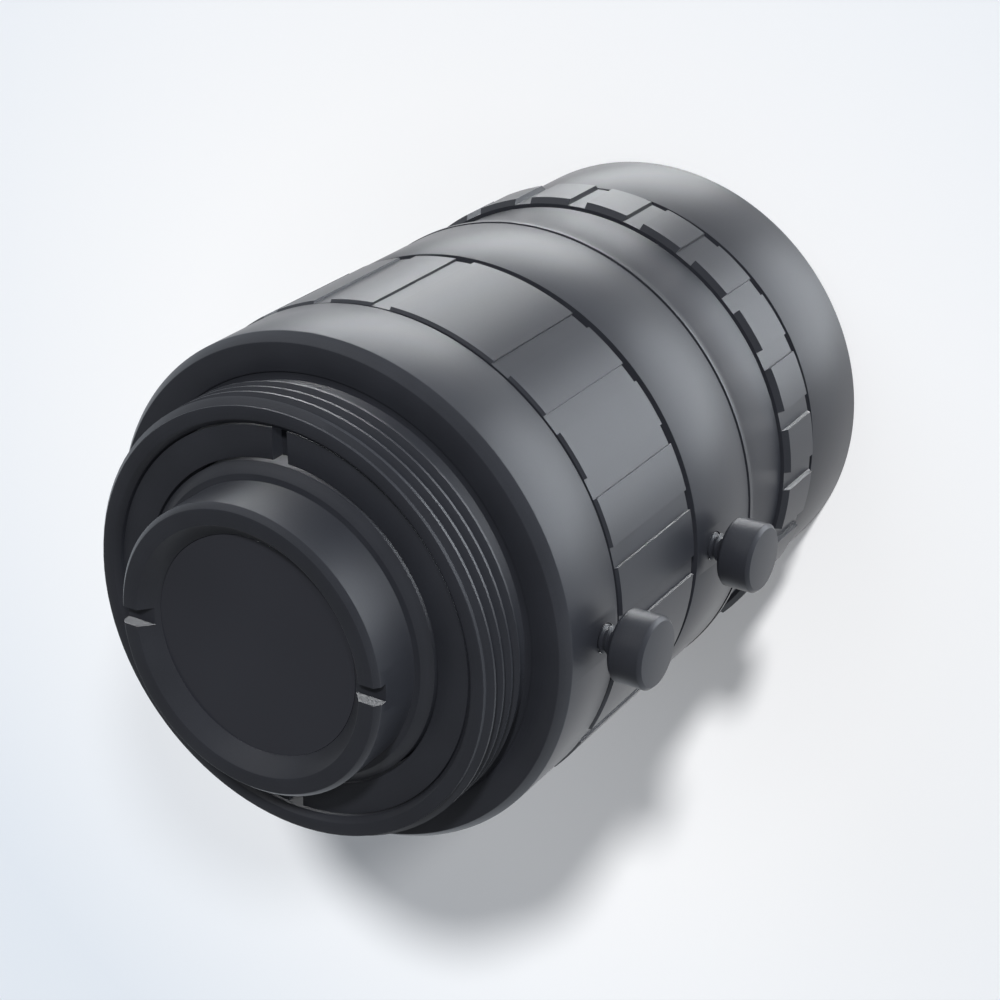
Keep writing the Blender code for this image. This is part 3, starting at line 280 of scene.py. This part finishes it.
def open_wall(bm, walls, turn, half_turn, low, high, hole=0.0):
    """Opens a wall between two radii, over a range of turns and heights, or as a round hole within it."""
    near = []
    for face in bm.faces:
        middle = face.calc_center_median()
        off_turn = abs((math.atan2(middle.y, middle.x) - turn + math.pi) % math.tau - math.pi)
        off_wall = min(abs(middle.xy.length - wall) for wall in walls)
        levels = [vert.co.z for vert in face.verts]
        if off_turn < half_turn and off_wall < ON_WALL and min(levels) < low and max(levels) > high:
            near.append(face)
    for level in (low, high):
        near = split_faces(bm, near, (0, 0, level), (0, 0, 1))
    opened = [face for face in near if low < face.calc_center_median().z < high]
    bmesh.ops.delete(bm, geom=opened, context="FACES")
    mouths = []
    for wall in walls:
        rim = [edge for edge in bm.edges
               if edge.is_boundary and abs(edge.verts[0].co.xy.length - wall) < ON_WALL]
        if hole:
            ring = []
            for step in range(HOLE_STEPS):
                around = math.tau * step / HOLE_STEPS
                aside = turn + hole * math.cos(around) / wall
                height = (low + high) / 2 + hole * math.sin(around)
                ring.append(bm.verts.new((wall * math.cos(aside), wall * math.sin(aside), height)))
            mouth = [bm.edges.new(pair) for pair in zip(ring, ring[1:] + ring[:1])]
            bmesh.ops.bridge_loops(bm, edges=rim + mouth)
            rim = mouth
        mouths += rim
    bmesh.ops.bridge_loops(bm, edges=mouths)
    bmesh.ops.recalc_face_normals(bm, faces=bm.faces)


def finish_piece(name, bm, surface, body, nodes=()):
    """Moves a piece onto the lens axis, makes it an object and ties it to its body and its CAD nodes."""
    bmesh.ops.translate(bm, verts=bm.verts, vec=(AXIS_X, 0, 0))
    mesh = bpy.data.meshes.new(name)
    bm.to_mesh(mesh)
    bm.free()
    mesh.shade_smooth()
    mesh.set_sharp_from_angle(angle=SHARP_ANGLE)
    mesh.materials.append(surface)
    piece = bpy.data.objects.new(name, mesh)
    bpy.context.collection.objects.link(piece)
    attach(piece, body)
    if nodes:
        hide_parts(*nodes)


def machined_finish(name, color, roughness, metallic, grain, across=None):
    """Turned metal: rings round Z, or round X at the height across, a blasted grain and a cloudy tint."""
    made, tree = new_material(name)
    place = add_node(tree, "ShaderNodeTexCoord", {}, {}, "Object")
    centre = (AXIS_X, 0.0, 0.0) if across is None else (0.0, 0.0, across)
    turn = (0.0, 0.0, 0.0) if across is None else (0.0, math.pi / 2, 0.0)
    lathe = add_node(tree, "ShaderNodeMapping", {"vector_type": "TEXTURE"}, {
        "Vector": place, "Location": centre, "Rotation": turn,
    })
    flat = add_node(tree, "ShaderNodeVectorMath", {"operation": "MULTIPLY"}, {0: lathe, 1: (1.0, 1.0, 0.0)})
    radius = add_node(tree, "ShaderNodeVectorMath", {"operation": "LENGTH"}, {0: flat}, "Value")
    height = add_node(tree, "ShaderNodeSeparateXYZ", {}, {0: lathe}, "Z")
    groove = add_node(tree, "ShaderNodeTexNoise", {"noise_dimensions": "1D"}, {
        "W": radius + height, "Scale": GROOVE_SCALE, "Detail": 1.0,
    })
    fine = add_node(tree, "ShaderNodeTexNoise", {}, {"Vector": place, "Scale": GRAIN_SCALE, "Detail": 1.0})
    broad = add_node(tree, "ShaderNodeTexNoise", {}, {"Vector": place, "Scale": CLOUD_SCALE, "Detail": 3.0})
    share = (0.55 * broad + 0.25 * fine + 0.2 * groove).clamped()
    darker = tuple(part * (1 - TINT_SPREAD) for part in color)
    lighter = tuple(part * (1 + TINT_SPREAD) for part in color)
    tint = add_node(tree, "ShaderNodeValToRGB", {"stops": [(0.3, darker), (0.7, lighter)]}, {0: share})
    relief = add_node(tree, "ShaderNodeBump", {}, {
        "Strength": grain, "Distance": GRAIN_DEPTH, "Height": 0.5 * fine + 0.5 * groove,
    })
    surface = add_node(tree, "ShaderNodeBsdfPrincipled", {}, {
        "Base Color": tint, "Roughness": roughness - ROUGHNESS_SPREAD / 2 + ROUGHNESS_SPREAD * broad,
        "Metallic": metallic, "Specular IOR Level": METAL_SPECULAR, "Normal": relief,
    })
    finish_material(tree, surface)
    return made


black_anodised = machined_finish("black_anodised", *ANODISED)
mount = turned_piece([
    (THREAD_ROOT, Z_MOUNT_REAR), (THREAD_ROOT, Z_FLANGE - RELIEF_UNDERCUT),
    (RELIEF_RADIUS, Z_FLANGE - RELIEF_UNDERCUT), (RELIEF_RADIUS, Z_FLANGE), (FLANGE_RADIUS, Z_FLANGE),
    (BODY_RADIUS, Z_BAND_REAR), (BODY_RADIUS, Z_BAND_FRONT), (POCKET_RADIUS, Z_BAND_FRONT),
    (POCKET_RADIUS, Z_POCKET), (NECK_RADIUS, Z_POCKET), (NECK_RADIUS, Z_NECK_FRONT),
    (NECK_BORE, Z_NECK_FRONT), (NECK_BORE, Z_SHOULDER), (CELL_HOLE, Z_SHOULDER), (CELL_HOLE, Z_MOUNT_SEAT),
    (MOUNT_BORE, Z_MOUNT_SEAT), (MOUNT_BORE, Z_MOUNT_REAR - MOUNT_CHAMFER),
    (MOUNT_BORE + MOUNT_CHAMFER, Z_MOUNT_REAR),
])
open_wall(mount, (POCKET_RADIUS, BODY_RADIUS), 0, HOLE_TURN, Z_IRIS_LOCK - HOLE_REACH,
          Z_IRIS_LOCK + HOLE_REACH, hole=LOCK_HOLE)
open_wall(mount, (NECK_BORE, NECK_RADIUS), PIN_SLOT_TURN, PIN_SLOT_REACH, *Z_PIN_SLOT)
finish_piece("mount_body", mount, black_anodised, "fixed_barrel", ["mount_barrel"])

# Camera thread: 1 inch by 32 turns to the inch, cut into the barrel and anodised with it. It runs out into
# the relief groove in front and is cut back by the chamfer of the rear rim.
MOUNT_PITCH = 0.0254 / 32
MOUNT_CREST = 0.0127
Z_THREAD_FRONT = 0.03814
THREAD_SINK = 0.00005
THREAD_INSET = 0.00003
CHAMFER_SLOPE = 0.86
ROOT_SHARE = 0.4
CREST_SHARE = 0.09
THREAD_STEPS = 96


def thread_ridge(root, crest, pitch, low, high):
    """A ridge wound round Z, cut and closed at two heights. Its crest lies outside its root or inside."""
    turns = math.ceil((high - low) / pitch) + 2
    start = low - pitch
    bm = bmesh.new()
    ridge = [bm.verts.new(point) for point in (
        (root, 0, start + pitch * ROOT_SHARE), (crest, 0, start + pitch * CREST_SHARE),
        (crest, 0, start - pitch * CREST_SHARE), (root, 0, start - pitch * ROOT_SHARE),
    )]
    bm.faces.new(ridge)
    bmesh.ops.spin(bm, geom=bm.faces[:] + bm.edges[:] + bm.verts[:], cent=(0, 0, 0), axis=(0, 0, 1),
                   dvec=(0, 0, pitch / THREAD_STEPS), angle=math.tau * turns, steps=THREAD_STEPS * turns)
    bmesh.ops.recalc_face_normals(bm, faces=bm.faces)
    for height, way in ((low, -1), (high, 1)):
        cut = bmesh.ops.bisect_plane(bm, geom=bm.faces[:] + bm.edges[:] + bm.verts[:], dist=WELD,
                                     plane_co=(0, 0, height), plane_no=(0, 0, way), clear_outer=True)
        rim = [item for item in cut["geom_cut"] if isinstance(item, bmesh.types.BMEdge)]
        bmesh.ops.holes_fill(bm, edges=rim)
    return bm


thread = thread_ridge(THREAD_ROOT - THREAD_SINK, MOUNT_CREST, MOUNT_PITCH, Z_THREAD_FRONT,
                      Z_MOUNT_REAR - THREAD_INSET)
for vert in thread.verts:
    allowed = max(THREAD_ROOT + (Z_MOUNT_REAR - vert.co.z) * CHAMFER_SLOPE, THREAD_ROOT - THREAD_SINK)
    if vert.co.xy.length > allowed:
        vert.co.xy *= allowed / vert.co.xy.length
finish_piece("camera_thread", thread, black_anodised, "fixed_barrel")

# Rear retaining ring: flat threaded ring, anodised black and sunk inside the thread barrel. It is screwed
# in by the two spanner slots that are milled across it.
ON_LEVEL = 1e-6
RING_RADIUS = 0.0112
RING_BORE = 0.0094
Z_RING_REAR = 0.04075
Z_RING_FRONT = 0.0392
Z_RING_SLOT = 0.03995
RING_SLOT_WIDTH = 0.00095


def cut_slots(bm, width, level, turn, way=1):
    """Cuts two opposite slots across a round rim, from its free end to a level: opens and closes them."""
    along = Matrix.Rotation(turn, 3, "Z") @ Vector((1, 0, 0))
    across = Matrix.Rotation(turn, 3, "Z") @ Vector((0, 1, 0))
    free_end = [face for face in bm.faces
                if any(way * (vert.co.z - level) > ON_LEVEL for vert in face.verts)]
    near = [face for face in free_end if abs(face.calc_center_median().dot(across)) < width]
    for place, normal in ((across * (width / 2), across), (across * (-width / 2), across),
                          (Vector((0, 0, level)), Vector((0, 0, 1)))):
        near = split_faces(bm, near, place, normal)
    opened = [face for face in near if abs(face.calc_center_median().dot(across)) < width / 2 - ON_LEVEL
              and way * (face.calc_center_median().z - level) > ON_LEVEL]
    bmesh.ops.delete(bm, geom=opened, context="FACES")
    for side in (1, -1):
        loose = [edge for edge in bm.edges if edge.is_boundary and side * edge.verts[0].co.dot(along) > 0]
        floor = [edge for edge in loose if all(abs(vert.co.z - level) < ON_LEVEL for vert in edge.verts)]
        bmesh.ops.bridge_loops(bm, edges=floor)
        walls = [edge for edge in bm.edges if edge.is_boundary and side * edge.verts[0].co.dot(along) > 0]
        bmesh.ops.holes_fill(bm, edges=walls)
    bmesh.ops.recalc_face_normals(bm, faces=bm.faces)


ring = turned_piece([
    (RING_RADIUS, Z_RING_REAR), (RING_RADIUS, Z_RING_FRONT), (RING_BORE, Z_RING_FRONT),
    (RING_BORE, Z_RING_REAR),
])
cut_slots(ring, RING_SLOT_WIDTH, Z_RING_SLOT, math.pi / 2)
finish_piece("rear_ring", ring, black_anodised, "fixed_barrel", ["rear_retaining_ring"])

# Rear cell: slim tube for the rear glasses, turned with its collar, its flange, its coned mouth and two
# spanner slots across the rim. The ring above clamps it by the flange.
FINE_BREAK = 0.00003
TUBE_RADIUS = 0.008315
TUBE_RIM = 0.00804
COLLAR_RADIUS = 0.00925
COLLAR_RIM = 0.00868
CELL_FLANGE_RADIUS = 0.0108
CELL_BORE = 0.0073
CELL_FRONT_BORE = 0.0076
MOUTH_RADIUS = 0.00629
MOUTH_RIM = 0.00715
Z_CELL_REAR = 0.044475
Z_TUBE_CHAMFER = 0.04417
Z_COLLAR = 0.04124
Z_COLLAR_CHAMFER = 0.04079
Z_CELL_FLANGE = 0.03905
Z_CELL_SEAT = 0.03835
Z_CELL_THREAD = 0.0349
Z_CELL_FRONT = 0.03126
Z_BEVEL_SEAT = (0.04245, 0.04346)
Z_WINDOW = 0.04354
Z_CELL_SLOT = 0.043775
SLOT_WIDTH = 0.001
cell = turned_piece([
    (TUBE_RIM, Z_CELL_REAR), (TUBE_RADIUS, Z_TUBE_CHAMFER), (TUBE_RADIUS, Z_COLLAR),
    (COLLAR_RIM, Z_COLLAR), (COLLAR_RADIUS, Z_COLLAR_CHAMFER), (COLLAR_RADIUS, Z_CELL_FLANGE),
    (CELL_FLANGE_RADIUS, Z_CELL_FLANGE), (CELL_FLANGE_RADIUS, Z_CELL_SEAT), (TUBE_RADIUS, Z_CELL_SEAT),
    (TUBE_RADIUS, Z_CELL_FRONT), (CELL_FRONT_BORE, Z_CELL_FRONT), (CELL_FRONT_BORE, Z_CELL_THREAD),
    (CELL_BORE, Z_CELL_THREAD), (CELL_BORE, Z_BEVEL_SEAT[0]), (MOUTH_RADIUS, Z_BEVEL_SEAT[1]),
    (MOUTH_RADIUS, Z_WINDOW), (MOUTH_RIM, Z_CELL_REAR),
], break_width=FINE_BREAK)
cut_slots(cell, SLOT_WIDTH, Z_CELL_SLOT, 0)
finish_piece("rear_tube", cell, black_anodised, "fixed_barrel", ["rear_cell"])

# Rear glass: flat-backed lens, polished and coated, bevelled to its seat in the cell. It is opaque, and its
# near-black colour is painted shade that stands for the dark inside of the lens seen through the glass.
REAR_GLASS_RADIUS = 0.0071
REAR_GLASS_FLAT = 0.00627
Z_REAR_BEVEL = (0.04235, 0.04318)
Z_REAR_GLASS_FRONT = 0.0404
REAR_GLASS_HOLLOW = [(0.0062, Z_REAR_GLASS_FRONT), (0.0042, 0.04007), (0.0021, 0.03987), (0, 0.0398)]
DUST_SCALE = 700.0
# Size of the clouds in the glasses' painted shade.
SHADE_CLOUD_SCALE = 90.0
GLASS_SPREAD = 0.1


def painted_shade_glass(name, tint, gloss):
    """Opaque glass with a hard gloss and a trace of dust in the roughness; its near-black colour, clouded a
    little, is painted shade for the dark inside of the lens.
    """
    made, tree = new_material(name)
    place = add_node(tree, "ShaderNodeTexCoord", {}, {}, "Object")
    dust = add_node(tree, "ShaderNodeTexNoise", {}, {"Vector": place, "Scale": DUST_SCALE, "Detail": 4.0})
    shade_cloud = add_node(tree, "ShaderNodeTexNoise", {}, {"Vector": place, "Scale": SHADE_CLOUD_SCALE, "Detail": 1.0})
    darker = tuple(part * (1 - GLASS_SPREAD) for part in tint)
    lighter = tuple(part * (1 + GLASS_SPREAD) for part in tint)
    shade = add_node(tree, "ShaderNodeValToRGB", {"stops": [(0.3, darker), (0.7, lighter)]}, {0: shade_cloud})
    surface = add_node(tree, "ShaderNodeBsdfPrincipled", {}, {
        "Base Color": shade, "Roughness": gloss + 0.04 * dust, "Metallic": 0.0, "IOR": 1.5,
    })
    finish_material(tree, surface)
    return made


# Both glasses are opaque: their near-black colour is painted shade for the dark inside of the lens.
coated_glass = painted_shade_glass("coated_glass", (0.02, 0.021, 0.027), 0.05)
glass = turned_piece([
    (0, Z_WINDOW), (REAR_GLASS_FLAT, Z_WINDOW), (REAR_GLASS_FLAT, Z_REAR_BEVEL[1]),
    (REAR_GLASS_RADIUS, Z_REAR_BEVEL[0]), (REAR_GLASS_RADIUS, Z_REAR_GLASS_FRONT), *REAR_GLASS_HOLLOW,
], closed=False, break_width=0)
finish_piece("rear_glass", glass, coated_glass, "fixed_barrel", ["rear_lens"])

# Iris ring: wide aluminium ring with four groups of five shallow valleys milled along it, and a thin skirt
# that turns under the rear band.
VALLEY_HALF = math.radians(2.25)
VALLEY_PITCH = 15
UPRIGHT = 0.1
ON_BAND = 0.00003
IRIS_FLOOR = 0.0148
IRIS_BORE = 0.0129
IRIS_SKIRT = 0.0136
IRIS_RISE = 0.00015
Z_IRIS_FRONT = 0.02339
Z_IRIS_REAR = 0.03166
Z_IRIS_SKIRT = 0.0344


def raise_ridges(bm, floor_radius, low, high, rise, tapers, valleys):
    """Leaves straight valleys round a band: the ridges between them move out from the valley floor."""
    ridges = []
    for face in bm.faces:
        middle = face.calc_center_median()
        outside = abs(face.normal.z) < UPRIGHT and middle.xy.length > floor_radius - ON_BAND
        turn = math.atan2(middle.y, middle.x)
        gaps = [abs((turn - valley + math.pi) % math.tau - math.pi) for valley in valleys]
        if outside and low < middle.z < high and min(gaps) > VALLEY_HALF:
            ridges.append(face)
    grown = bmesh.ops.extrude_face_region(bm, geom=ridges)
    bmesh.ops.delete(bm, geom=ridges, context="FACES")
    for vert in (item for item in grown["geom"] if isinstance(item, bmesh.types.BMVert)):
        vert.co.xy *= (floor_radius + rise) / floor_radius
        if abs(vert.co.z - low) < ON_LEVEL:
            vert.co.z += tapers[0]
        if abs(vert.co.z - high) < ON_LEVEL:
            vert.co.z -= tapers[1]
    bmesh.ops.recalc_face_normals(bm, faces=bm.faces)


def grip_blank(outline):
    """A turned blank whose faces meet at the valleys' edges."""
    bm = turned_piece(outline, break_width=0)
    half_face = Matrix.Rotation(math.pi / ROUND, 3, "Z")
    bmesh.ops.rotate(bm, verts=bm.verts, cent=(0, 0, 0), matrix=half_face)
    return bm


iris = grip_blank([
    (IRIS_SKIRT, Z_IRIS_SKIRT), (IRIS_SKIRT, Z_IRIS_REAR), (IRIS_FLOOR, Z_IRIS_REAR),
    (IRIS_FLOOR, Z_IRIS_FRONT), (IRIS_BORE, Z_IRIS_FRONT), (IRIS_BORE, Z_IRIS_SKIRT),
])
groups = [math.radians(90 * group + VALLEY_PITCH * valley) for group in range(4) for valley in range(5)]
raise_ridges(iris, IRIS_FLOOR, Z_IRIS_FRONT, Z_IRIS_REAR, IRIS_RISE, (0, IRIS_RISE), groups)
finish_piece("iris_grip", iris, black_anodised, "iris_turning", ["iris_ring"])

# Middle barrel: plain sleeve between the two grips, with the nose for the focus ring and the hub that is
# screwed into the neck of the mount barrel, all one turning, drilled for its lock screw and for the pin that
# guides the front barrel.
HAIR_BREAK = 0.00002
SLEEVE_RADIUS = 0.01488
NOSE_RADIUS = 0.0126
NOSE_BORE = 0.0119
SNAP_FLOOR = 0.0123
HUB_RADIUS = 0.0115
HUB_BORE = 0.0109
Z_HUB_REAR = 0.0244
Z_SLEEVE_REAR = 0.0228
Z_WEB = 0.0219
Z_SLEEVE_FRONT = 0.01639
Z_SNAP_REAR = 0.0146
Z_SNAP_FRONT = 0.01365
Z_NOSE_FRONT = 0.0128
Z_FOCUS_LOCK = 0.02075
Z_GUIDE_PIN = 0.0166
GUIDE_HOLE = 0.00065
GUIDE_REACH = 0.0009
middle = turned_piece([
    (HUB_RADIUS, Z_HUB_REAR), (HUB_RADIUS, Z_SLEEVE_REAR), (SLEEVE_RADIUS, Z_SLEEVE_REAR),
    (SLEEVE_RADIUS, Z_SLEEVE_FRONT), (POCKET_RADIUS, Z_SLEEVE_FRONT), (POCKET_RADIUS, Z_WEB),
    (NOSE_RADIUS, Z_WEB), (NOSE_RADIUS, Z_SNAP_REAR), (SNAP_FLOOR, Z_SNAP_REAR),
    (SNAP_FLOOR, Z_SNAP_FRONT), (NOSE_RADIUS, Z_SNAP_FRONT), (NOSE_RADIUS, Z_NOSE_FRONT),
    (NOSE_BORE, Z_NOSE_FRONT), (NOSE_BORE, Z_WEB), (HUB_BORE, Z_WEB), (HUB_BORE, Z_HUB_REAR),
], break_width=HAIR_BREAK)
open_wall(middle, (POCKET_RADIUS, SLEEVE_RADIUS), 0, HOLE_TURN, Z_FOCUS_LOCK - HOLE_REACH,
          Z_FOCUS_LOCK + HOLE_REACH, hole=LOCK_HOLE)
open_wall(middle, (NOSE_BORE, NOSE_RADIUS), math.pi, HOLE_TURN, Z_GUIDE_PIN - GUIDE_REACH,
          Z_GUIDE_PIN + GUIDE_REACH, hole=GUIDE_HOLE)
finish_piece("middle_barrel", middle, black_anodised, "fixed_barrel", ["main_barrel"])

# Focus ring: narrow band with 24 deep valleys and chamfered ends, a plain neck and a short flared collar,
# turned and milled in one piece. Its skirt runs up inside the middle barrel.
FOCUS_FLOOR = 0.0146
FOCUS_NECK = 0.01436
FOCUS_COLLAR = 0.01492
FOCUS_SKIRT = 0.0136
FOCUS_BORE = 0.0129
FOCUS_FRONT_BORE = 0.0119
FOCUS_RISE = 0.00032
FOCUS_TAPER = 0.0003
Z_FOCUS_FRONT = 0.00732
Z_FOCUS_GRIP = 0.01102
Z_FOCUS_SEAT = 0.0125
Z_FOCUS_COLLAR = 0.01624
Z_FOCUS_FLARE = (0.01499, 0.01592)
Z_FOCUS_SKIRT = 0.0216
focus = grip_blank([
    (FOCUS_SKIRT, Z_FOCUS_SKIRT), (FOCUS_SKIRT, Z_FOCUS_COLLAR), (FOCUS_COLLAR, Z_FOCUS_COLLAR),
    (FOCUS_COLLAR, Z_FOCUS_FLARE[1]), (FOCUS_NECK, Z_FOCUS_FLARE[0]), (FOCUS_NECK, Z_FOCUS_GRIP),
    (FOCUS_FLOOR, Z_FOCUS_GRIP), (FOCUS_FLOOR, Z_FOCUS_FRONT), (FOCUS_FRONT_BORE, Z_FOCUS_FRONT),
    (FOCUS_FRONT_BORE, Z_FOCUS_SEAT), (FOCUS_BORE, Z_FOCUS_SEAT), (FOCUS_BORE, Z_FOCUS_SKIRT),
])
round_valleys = [math.radians(VALLEY_PITCH * valley) for valley in range(24)]
raise_ridges(focus, FOCUS_FLOOR, Z_FOCUS_FRONT, Z_FOCUS_GRIP, FOCUS_RISE, (FOCUS_TAPER, FOCUS_TAPER),
             round_valleys)
finish_piece("focus_grip", focus, black_anodised, "focus_turning", ["focus_ring"])

# Front barrel: plain rim with the threaded recess for a filter, on the long tube that carries the front
# glasses and slides inside the nose, slotted for the guide pin.
FRONT_RADIUS = 0.01439
FRONT_TUBE = 0.0116
FRONT_BORE = 0.0105
FRONT_STOP = 0.0086
RECESS_RADIUS = 0.0134
RECESS_FLOOR = 0.0114
RIM_CHAMFER = 0.00015
RECESS_CHAMFER = 0.00025
Z_TUBE_REAR = 0.0206
Z_STOP = 0.0196
Z_RIM_REAR = 0.00644
Z_GLASS_SEAT = 0.00625
Z_RECESS = 0.0042
GUIDE_SLOT_TURN = 0.078
Z_GUIDE_SLOT = (0.0157, 0.0195)
FILTER_ROOT = 0.01343
FILTER_CREST = 0.0132
FILTER_PITCH = 0.0005
Z_FILTER = (0.00035, 0.0034)
front = turned_piece([
    (FRONT_TUBE, Z_TUBE_REAR), (FRONT_TUBE, Z_RIM_REAR), (FRONT_RADIUS, Z_RIM_REAR),
    (FRONT_RADIUS, RIM_CHAMFER), (FRONT_RADIUS - RIM_CHAMFER, 0), (RECESS_RADIUS + RECESS_CHAMFER, 0),
    (RECESS_RADIUS, RECESS_CHAMFER), (RECESS_RADIUS, Z_RECESS), (RECESS_FLOOR, Z_RECESS),
    (RECESS_FLOOR, Z_GLASS_SEAT), (FRONT_BORE, Z_GLASS_SEAT), (FRONT_BORE, Z_STOP), (FRONT_STOP, Z_STOP),
    (FRONT_STOP, Z_TUBE_REAR),
], break_width=FINE_BREAK)
open_wall(front, (FRONT_BORE, FRONT_TUBE), math.pi, GUIDE_SLOT_TURN, *Z_GUIDE_SLOT)
finish_piece("front_rim", front, black_anodised, "front_sliding", ["front_barrel"])
filter_thread = thread_ridge(FILTER_ROOT, FILTER_CREST, FILTER_PITCH, *Z_FILTER)
finish_piece("filter_thread", filter_thread, black_anodised, "front_sliding")

# Front retaining ring and front glass: slotted ring with a coned mouth, screwed in over the bulged outer
# lens, which is polished and coated.
CLAMP_RADIUS = 0.0111
CLAMP_BORE = 0.0096
CLAMP_MOUTH = 0.0103
Z_CLAMP_REAR = 0.0061
Z_CLAMP_CONE = 0.0052
Z_CLAMP_FRONT = 0.0045
Z_CLAMP_SLOT = 0.0051
DOME_RADIUS = 0.0094
DOME_RISE = 0.0014
HOLLOW_DEPTH = 0.0007
Z_GLASS_REAR = 0.00935
FRONT_GLASS_RADIUS = 0.0103
clamp = turned_piece([
    (CLAMP_RADIUS, Z_CLAMP_REAR), (CLAMP_RADIUS, Z_CLAMP_FRONT), (CLAMP_MOUTH, Z_CLAMP_FRONT),
    (CLAMP_BORE, Z_CLAMP_CONE), (CLAMP_BORE, Z_CLAMP_REAR),
], break_width=FINE_BREAK)
cut_slots(clamp, SLOT_WIDTH, Z_CLAMP_SLOT, 0, way=-1)
inner_black = machined_finish("inner_black", (0.016, 0.016, 0.018), 0.55, 0.0, 0.2)
finish_piece("front_clamp", clamp, inner_black, "front_sliding", ["front_retaining_ring"])
inward = [1 - step / 14 for step in range(15)]
outward = [step / 8 for step in range(9)]
dome = [(DOME_RADIUS * share, Z_GLASS_SEAT - DOME_RISE * (1 - share ** 2)) for share in inward]
hollow = [(DOME_RADIUS * share, Z_GLASS_REAR - HOLLOW_DEPTH * (1 - share ** 2)) for share in outward]
edge_wall = [(FRONT_GLASS_RADIUS, Z_GLASS_REAR), (FRONT_GLASS_RADIUS, Z_GLASS_SEAT)]
glass = turned_piece(hollow + edge_wall + dome, closed=False, break_width=0)
# The front glass carries the same painted shade for the dark inside of the lens.
finish_piece("front_glass", glass, coated_glass, "front_sliding", ["front_lens"])

# Lock screws: small plain thumbscrews, turned from bar and anodised black, each a flat round head on a
# thin threaded shank.
HEAD_RADIUS = 0.002
HEAD_CHAMFER = 0.0002
HEAD_START = 0.01595
HEAD_END = 0.01797
SHANK_START = 0.0143
SHANK_RADIUS = 0.00066
HEAD_STEPS = 72
SCREW_ROOT = 0.00064
SCREW_CREST = 0.0008
SCREW_PITCH = 0.00035
SCREW_ENDS = (0.0144, 0.0158)
for name, height, body in (
    ("iris_lock", Z_IRIS_LOCK, "iris_screw"), ("focus_lock", Z_FOCUS_LOCK, "focus_screw"),
):
    screw_black = machined_finish(f"{name}_black", *ANODISED, across=height)
    screw = turned_piece([
        (0, SHANK_START), (SHANK_RADIUS, SHANK_START), (SHANK_RADIUS, HEAD_START),
        (HEAD_RADIUS - HEAD_CHAMFER, HEAD_START), (HEAD_RADIUS, HEAD_START + HEAD_CHAMFER),
        (HEAD_RADIUS, HEAD_END - HEAD_CHAMFER), (HEAD_RADIUS - HEAD_CHAMFER, HEAD_END), (0, HEAD_END),
    ], steps=HEAD_STEPS, break_width=HAIR_BREAK, closed=False)
    winding = thread_ridge(SCREW_ROOT, SCREW_CREST, SCREW_PITCH, *SCREW_ENDS)
    for part, label, nodes in ((screw, "thumbscrew", [name + "_screw"]), (winding, "screw_thread", [])):
        across = Matrix.Rotation(math.pi / 2, 3, "Y")
        bmesh.ops.rotate(part, verts=part.verts, cent=(0, 0, 0), matrix=across)
        bmesh.ops.translate(part, verts=part.verts, vec=(0, 0, height))
        finish_piece(f"{name}_{label}", part, screw_black, body, nodes)

# Inside: dull black spacers and iris housing, blackened spring-steel blades, a brass cam ring and pads, and
# ground steel pins and snap ring, all as modelled in the solids.
blade_black = machined_finish("blackened_steel", (0.05, 0.05, 0.052), 0.45, 0.6, 0.1)
ground_steel = machined_finish("ground_steel", (0.55, 0.55, 0.56), 0.3, 1.0, 0.1)
turned_brass = machined_finish("turned_brass", (0.72, 0.52, 0.20), 0.34, 1.0, 0.1)
finishes = {
    "coated_glass": coated_glass, "inner_black": inner_black, "blade_steel": blade_black,
    "steel": ground_steel, "brass": turned_brass, "black_anodised": black_anodised,
}
slots = {part["node"]: part["material_slot"] for part in frame["record"]["subparts"]}
for node, piece in frame["nodes"].items():
    for holder in piece.material_slots:
        holder.material = finishes[slots[node]]
